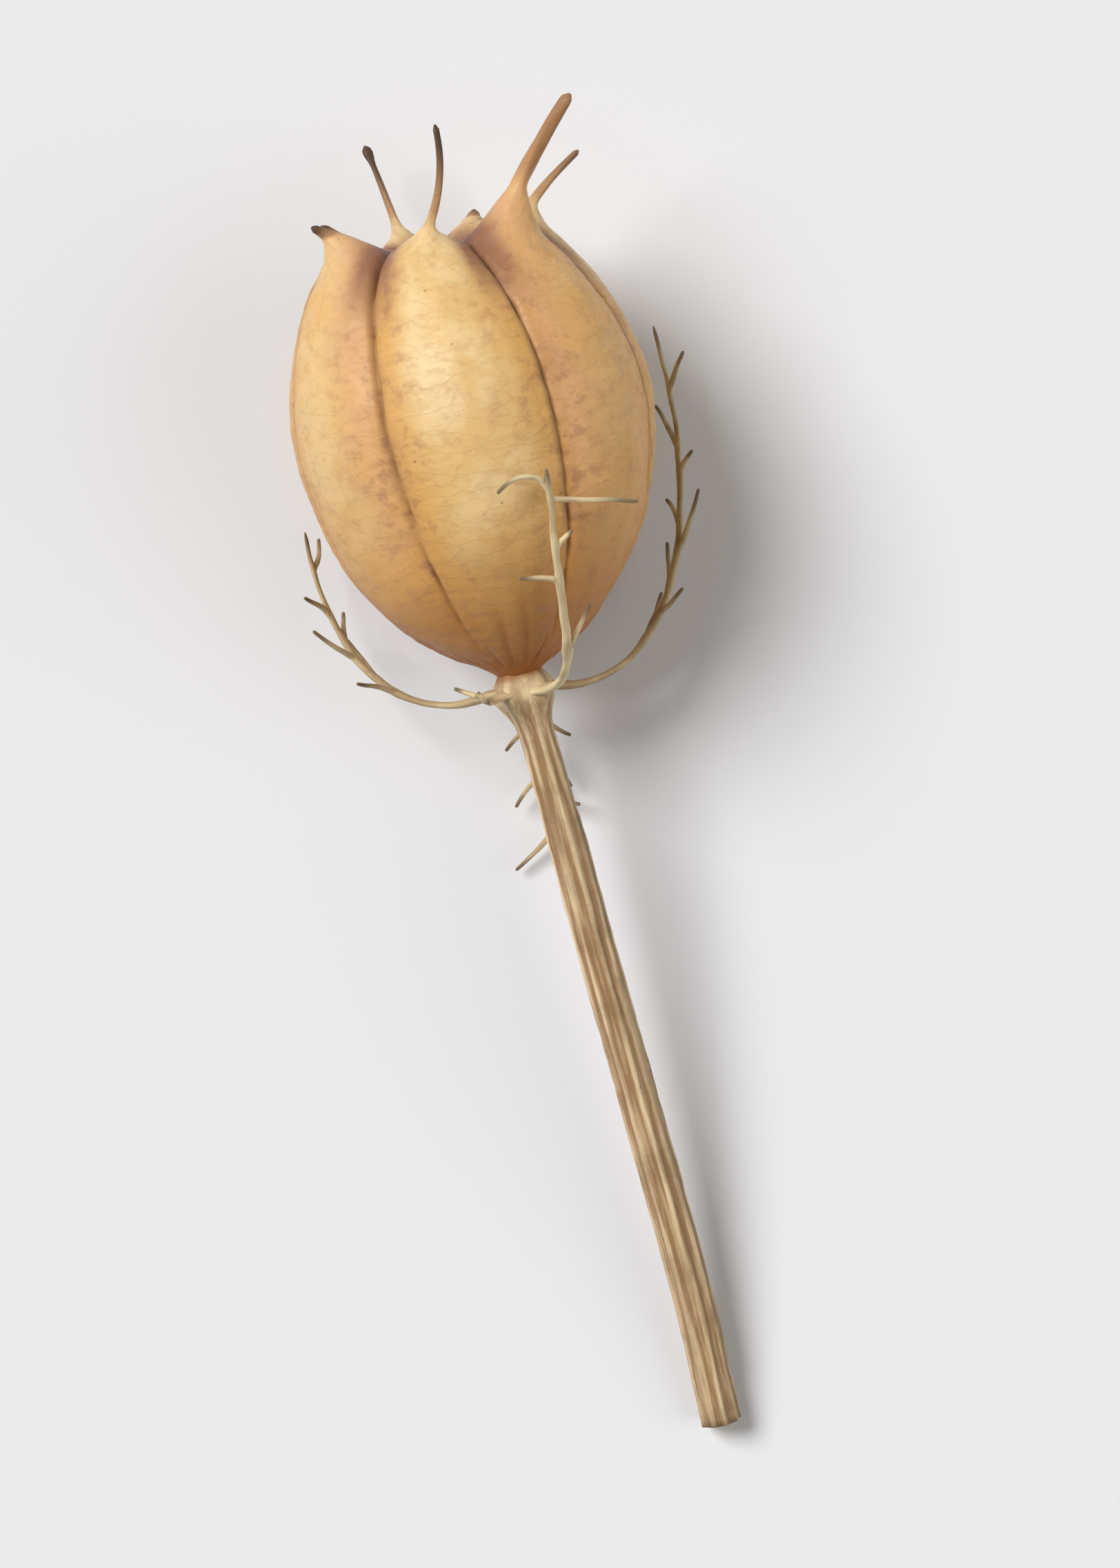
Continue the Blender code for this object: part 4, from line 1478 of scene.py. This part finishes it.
@dataclass(frozen=True)
class Bract:
    """One thread-like bract: a rachis that follows four Bezier points, with twigs extruded from its sides."""

    name: str
    azimuth: float                              # where it grows from the knot, in degrees from the front
    swing: float                                # how far it turns round the pod on its way, in degrees
    course: tuple[tuple[float, float], ...]     # distances from the pod's axis and heights, in millimetres
    twigs: tuple[Twig, ...]
    # how brown it is: wear, and painted shade for the bracts round the sides and back
    weathering: float
    wall: LobedWall
    lying: LyingDown
    root_inset: float = 0.9 * MM
    root_width: float = 0.72 * MM
    middle_width: float = 0.3 * MM
    tip_width: float = 0.17 * MM
    root_fade: float = 2.4 * MM
    flatness: float = 0.62
    root_flatness: float = 0.42
    node_swelling: float = 0.3
    node_length: float = 0.55 * MM
    twig_radius: float = 0.19 * MM
    twig_tip_radius: float = 0.1 * MM
    sides: int = 8
    ring_length: float = 0.42 * MM
    twig_steps: int = 12
    twig_bends: int = 5
    twig_start: float = 0.05 * MM           # how far outside the rachis a twig's first ring stands
    twig_start_share: float = 0.35          # and at most, as a share of the twig
    least_slant: float = 0.35               # least sine of the spread that this is worked out with
    rachis_fibres: float = 18.0             # length of the rachis in the skin's coordinates
    twig_fibres: float = 20.0               # where the twigs start in them
    twig_skin: float = 0.3                  # half of a twig's width in them
    line_points: int = 100
    kink: float = 0.09 * MM
    kink_size: float = 1.6 * MM
    capsule_clearance: float = 0.9 * MM
    floor_clearance: float = 0.8 * MM
    LIFT = 10.0                 # how far one extrusion lifts a twig's end while the rachis is still straight
    ROUND_SHRINK = 0.66         # how much subdivision shrinks a tube of four sides
    SIDES_SHRINK = 0.9          # how much it shrinks the rachis

    @cached_property
    def rachis_line(self) -> Array:
        """The rachis in the pod's frame, from its point beside the knot, one point a row."""
        flat = bezier([np.array(point) * MM for point in self.course], self.line_points)
        share = np.linspace(0.0, 1.0, self.line_points)
        azimuth = np.radians(self.azimuth + self.swing * share * (2 - share))
        return around(azimuth, flat[:, 0], flat[:, 1])

    @cached_property
    def rachis(self) -> Sweep:
        """The sweep along the rachis on the floor, from inside the knot to its tip."""
        line = self.rachis_line
        inward = line[0] * (1, 1, 0) * self.root_inset / math.hypot(line[0][0], line[0][1])
        aside = np.cross(line[1] - line[0], line[0])
        return Sweep.along(self.laid(np.vstack((line[0] - inward, line))), self.lying.turn @ aside)

    @cached_property
    def rings(self) -> int:
        """How many stretches the rachis has along its length."""
        return round(self.rachis.length / self.ring_length)

    @cached_property
    def twig_rings(self) -> list[int]:
        """The stretch of the rachis that each twig grows from; two on one side never touch."""
        taken: list[tuple[int, Side]] = []
        for twig in self.twigs:
            point = twig.share * (len(self.rachis_line) - 1) + 1
            distance = np.interp(point, np.arange(len(self.rachis.distance)), self.rachis.distance)
            ring = min(round(float(distance) / self.rachis.length * self.rings - 0.5), self.rings - 2)
            while any(abs(ring - other) < 2 and twig.side is side for other, side in taken):
                ring -= 1
            taken.append((ring, twig.side))
        return [ring for ring, _ in taken]

    def keep_clear(self, point: Array) -> Array:
        """Moves a point away from the capsule's wall.

        Args:
            point: a point of the pod's frame.

        Returns:
            The point, moved straight away from the axis where it was too near to the wall.
        """
        distance = math.hypot(point[0], point[1])
        if point[2] < 0 or distance == 0:
            return point
        needed = self.wall.outline.radius_at_height(point[2], self.wall.rim_share) + self.capsule_clearance
        reach = max(1.0, needed / distance)
        return point * (reach, reach, 1.0)

    def twig_line(self, twig: Twig) -> Array:
        """The line of a twig in the pod's frame, one point a row.

        Args:
            twig: the twig.

        Returns:
            Its points, from the middle of the rachis.
        """
        rachis = self.rachis_line
        place = twig.share * (len(rachis) - 1)
        lower = int(place)
        start = rachis[lower] + (rachis[lower + 1] - rachis[lower]) * (place - lower)
        along = rachis[lower + 1] - rachis[lower]
        along = along / np.linalg.norm(along)
        aside = -np.cross((start[0], start[1], 0.0), along)
        aside = aside / np.linalg.norm(aside)
        points = [start]
        point = start
        for step in range(self.twig_bends):
            angle = math.radians(twig.spread + twig.curl * step / self.twig_bends)
            direction = along * math.cos(angle) + aside * twig.side.value * math.sin(angle)
            point = point + direction * twig.length * MM / self.twig_bends
            points.append(self.keep_clear(point))
        return smooth_through(np.array(points), 8)

    def laid(self, line: Array) -> Array:
        """Lays a line down, keeps it off the floor and gives it small kinks.

        Args:
            line: points of the pod's frame, one a row.

        Returns:
            The line on the floor, one point a row.
        """
        places = self.lying.lay(line, self.floor_clearance)
        kinks = np.stack([noise_at(places + shift, self.kink_size) for shift in (0.0, 3.0, 7.0)], axis=-1)
        grown = smoothstep(0.0, 0.25, np.linspace(0.0, 1.0, len(places)))
        return places + kinks * self.kink * grown[:, None]

    def angles(self, places: Array) -> Array:
        """Angles round the straight tube, by which a face looks straight to each side."""
        return np.arctan2(places[:, 1], places[:, 0]) + math.pi / self.sides

    def model(self) -> bpy.types.Object:
        """Extrudes the rachis, then a twig from a face on its side for each twig.

        Returns:
            The bract as a straight tube, with a stack of lifts for each twig.
        """
        bract = straight_tube(f"{self.name}_threads", self.sides, self.rings)
        centres = face_centres(bract.data)
        facing = np.cos(self.angles(centres))
        rings = np.floor(centres[:, 2] * self.rings)
        wall = np.hypot(centres[:, 0], centres[:, 1]) > 0.5
        faces = [int(np.argmax(np.where((rings == ring) & wall, facing * twig.side.value, -2.0)))
                 for twig, ring in zip(self.twigs, self.twig_rings)]
        with editing(bract):
            select_faces(bract, faces)
            extrude_selected((0, 0, self.LIFT), self.twig_steps)
        return bract

    def rachis_width(self, share: Array) -> Array:
        """How wide the rachis is.

        Args:
            share: shares of its length.

        Returns:
            Half of its width there, with its root and a swelling at each twig.
        """
        nodes = sum(hump((share - (ring + 0.5) / self.rings) * self.rachis.length, self.node_length)
                    for ring in self.twig_rings)
        fade = min(self.root_fade, self.rachis.length * 0.2)
        root = (self.root_width - self.middle_width) * hump(share * self.rachis.length, fade)
        thin = self.middle_width + (self.tip_width - self.middle_width) * smoothstep(0.3, 1.0, share)
        return (thin + root) * (1 + self.node_swelling * np.clip(nodes, 0.0, 1.0))

    def build(self, material: bpy.types.Material) -> bpy.types.Object:
        """Builds the bract and dresses it.

        Args:
            material: the bracts' material.

        Returns:
            The finished piece.
        """
        bract = self.model()
        tube = places_of(bract.data)
        lifts = np.round((tube[:, 2] - 0.5) / self.LIFT).clip(0)
        height = tube[:, 2] - lifts * self.LIFT
        angle, inside = self.angles(tube), np.hypot(tube[:, 0], tube[:, 1])
        share = np.clip(height, 0.0, 1.0)
        width = self.rachis_width(share) / self.SIDES_SHRINK
        ends = np.sqrt(np.clip((1 - share) * self.rings / 1.2, 0.12, 1.0))
        distance = share * self.rachis.length
        flatness = self.flatness + (self.root_flatness - self.flatness) * hump(distance, self.root_fade)
        half = inside * width * ends
        places = self.rachis.place(distance, half * np.cos(angle), half * flatness * np.sin(angle))
        tip = smoothstep(0.85, 1.0, share)
        skin = np.stack((np.cos(angle), np.sin(angle), share * self.rachis_fibres), axis=-1)
        for twig, ring in zip(self.twigs, self.twig_rings):
            beside = np.cos(angle) * twig.side.value > 0
            own = (lifts > 0) & (np.abs(height * self.rings - ring - 0.5) < 0.6) & beside
            path = self.twig_sweep(twig, ring)
            corner_up = np.sign(height[own] * self.rings - ring - 0.5)
            corner_out = np.sign(np.sin(angle[own]))
            step = lifts[own] / self.twig_steps
            slant = max(self.least_slant, math.sin(math.radians(twig.spread)))
            start = min(self.twig_start_share * path.length, self.middle_width / slant + self.twig_start)
            distance = start + (path.length - start) * (lifts[own] - 1) / (self.twig_steps - 1)
            radius = self.twig_radius + (self.twig_tip_radius - self.twig_radius) * step
            radius = radius / self.ROUND_SHRINK * math.sqrt(0.5)
            places[own] = path.place(distance, radius * corner_up, radius * corner_out)
            tip[own] = smoothstep(0.1, 1.0, step)
            skin[own] = np.stack((corner_up * self.twig_skin, corner_out * self.twig_skin,
                                  self.twig_fibres + distance / MM), axis=-1)
        move_to(bract.data, places)
        give_attributes(bract.data, tip=tip, weathering=np.full(len(places), self.weathering), skin=skin)
        smooth = bract.modifiers.new("round_threads", "SUBSURF")
        smooth.levels = smooth.render_levels = 2
        bpy.context.view_layer.objects.active = bract
        bpy.ops.object.modifier_apply(modifier=smooth.name)
        finish_piece(bract, Slot.BRACT, material, self.name)
        return bract

    def twig_sweep(self, twig: Twig, ring: int) -> Sweep:
        """Works out how a twig runs from its face of the rachis.

        Args:
            twig: the twig.
            ring: the stretch of the rachis that it grows from.

        Returns:
            The sweep along it, turned so that its corners match those of the face.
        """
        line = self.laid(self.twig_line(twig))
        middle = np.array([(ring + 0.5) / self.rings * self.rachis.length])
        start = self.rachis.read(self.rachis.points, middle)
        line = line + (start - line[:1]) * np.linspace(1.0, 0.0, len(line))[:, None] ** 2
        ahead = self.rachis.read(np.gradient(self.rachis.points, axis=0), middle)[0]
        sweep = Sweep.along(line, ahead)
        above = self.rachis.read(self.rachis.up, middle)[0]
        return sweep if sweep.up[0] @ above > 0 else Sweep(sweep.points, sweep.right, -sweep.up)


FRONT_TWIGS = (
    Twig(share=0.46, side=Side.RIGHT, length=3.2, spread=38, curl=-10),
    Twig(share=0.74, side=Side.LEFT, length=2.7, spread=66, curl=14),
    Twig(share=0.83, side=Side.RIGHT, length=1.4, spread=60, curl=0),
    Twig(share=0.93, side=Side.RIGHT, length=5.5, spread=98, curl=8),
    Twig(share=0.96, side=Side.LEFT, length=3.6, spread=42, curl=105),
)


def bracts(wall: LobedWall, lying: LyingDown) -> tuple[Bract, ...]:
    """The five bracts.

    Args:
        wall: the wall that they keep clear of.
        lying: where the pod lies.

    Returns:
        The bracts, the front one first.
    """
    return (
        # The sixth value of each is its browning: wear, and painted shade on the bracts round the sides and
        # back of the capsule
        Bract("bract_1", 48, -30, ((1.95, -1.6), (5.2, -1.6), (9.6, 1.6), (12.0, 11.5)), FRONT_TWIGS,
              0.1, wall, lying),
        Bract("bract_2", 103, 8, ((1.95, -1.6), (8.0, -3.4), (14.0, 4.0), (12.2, 18.0)),
              drawn_twigs(8, 4.8, 8), 0.6, wall, lying),
        Bract("bract_3", -106, -8, ((1.95, -1.6), (7.0, -3.0), (12.0, 1.0), (12.0, 9.5)),
              drawn_twigs(6, 4.4, 5), 0.5, wall, lying),
        Bract("bract_4", -36, 6, ((1.95, -1.6), (3.0, -2.0), (4.2, -1.9), (4.9, -0.9)),
              drawn_twigs(2, 2.0, 2), 0.25, wall, lying),
        Bract("bract_5", 166, 10, ((1.95, -1.7), (4.8, -2.2), (7.2, -5.0), (7.0, -13.0)),
              drawn_twigs(6, 3.8, 9), 0.55, wall, lying),
    )


@dataclass(frozen=True)
class SoftLight:
    """A wide, far-off light that lights the pod and all of the floor alike."""

    name: str
    place: tuple[float, float, float]   # it shines from here towards the origin
    width: float                        # the angle that it fills, in degrees
    strength: float
    colour: tuple[float, float, float] = (1.0, 1.0, 1.0)

    def build(self) -> None:
        """Adds the light to the scene."""
        light = bpy.data.lights.new(self.name, "SUN")
        light.angle = math.radians(self.width)
        light.energy = self.strength
        light.color = self.colour
        lamp = bpy.data.objects.new(self.name, light)
        lamp.location = self.place
        lamp.rotation_euler = (-Vector(self.place)).to_track_quat("-Z", "Y").to_euler()
        bpy.context.scene.collection.objects.link(lamp)


@dataclass(frozen=True)
class Studio:
    """The pale floor, the soft light and the camera above the pod."""

    WHITE = (1.0, 1.0, 1.0, 1.0)
    floor_size: float = 20.0
    view_height: float = 0.0915         # what the picture shows from its bottom to its top
    view_middle: tuple[float, float] = (0.0, 0.0)
    roll: float = math.radians(-12.0)
    lens: float = 180.0
    sensor: float = 36.0
    focus_height: float = 0.011
    surround: float = 0.83
    surround_light: float = 0.2
    lights: tuple[SoftLight, ...] = (
        SoftLight("key_light", (-0.32, 0.28, 0.5), 30, 3.15, (1.0, 0.99, 0.98)),
        SoftLight("fill_light", (0.5, -0.15, 0.5), 50, 0.85, (1.0, 0.95, 0.88)),
    )

    def floor(self, finish: FloorFinish) -> None:
        """Lays the floor.

        Args:
            finish: its finish.
        """
        bpy.ops.object.select_all(action="DESELECT")
        bpy.ops.mesh.primitive_plane_add(size=self.floor_size, location=(0, 0, 0))
        floor = named_primitive("floor")
        floor.data.materials.append(finish.build())

    def world(self) -> None:
        """Surrounds the scene with pale grey, which lights it less strongly than it looks."""
        world = bpy.data.worlds.new("surround")
        world.use_nodes = True
        nodes = NodeBuilder(world.node_tree)
        lit, seen = (nodes.node("ShaderNodeBackground", {"Color": self.WHITE, "Strength": strength})
                     for strength in (self.surround_light, self.surround))
        ray = nodes.node("ShaderNodeLightPath").outputs["Is Camera Ray"]
        mixed = nodes.node("ShaderNodeMixShader", {0: ray, 1: lit.outputs[0], 2: seen.outputs[0]})
        nodes.node("ShaderNodeOutputWorld", {"Surface": mixed.outputs[0]})
        bpy.context.scene.world = world

    def camera(self) -> None:
        """Hangs the camera above the pod, turned so that the pod leans as it does in the bunch."""
        data = bpy.data.cameras.new("camera")
        data.lens = self.lens
        data.sensor_width = self.sensor
        camera = bpy.data.objects.new("camera", data)
        camera.location = (*self.view_middle, self.focus_height + self.view_height * self.lens / self.sensor)
        camera.rotation_euler = (0.0, 0.0, self.roll)
        bpy.context.scene.collection.objects.link(camera)
        bpy.context.scene.camera = camera

    def build(self) -> None:
        """Builds the floor, the surround, the lights and the camera, and shows colours as they are."""
        bpy.context.scene.view_settings.view_transform = "Standard"
        self.floor(FloorFinish())
        self.world()
        for light in self.lights:
            light.build()
        self.camera()


def main() -> None:
    """Builds the studio and the pod's pieces, and reports each."""
    logging.basicConfig(level=logging.INFO, format="%(name)s: %(message)s")
    Studio().build()
    wall = LobedWall()
    lying = LyingDown(wall)
    Capsule(wall, lying).build(CapsuleFinish())
    leaves = bracts(wall, lying)
    Stalk(lying, tuple(bract.azimuth for bract in leaves)).build(StalkFinish())
    straw = BractFinish().build()
    for bract in leaves:
        bract.build(straw)


if __name__ == "__main__":
    main()
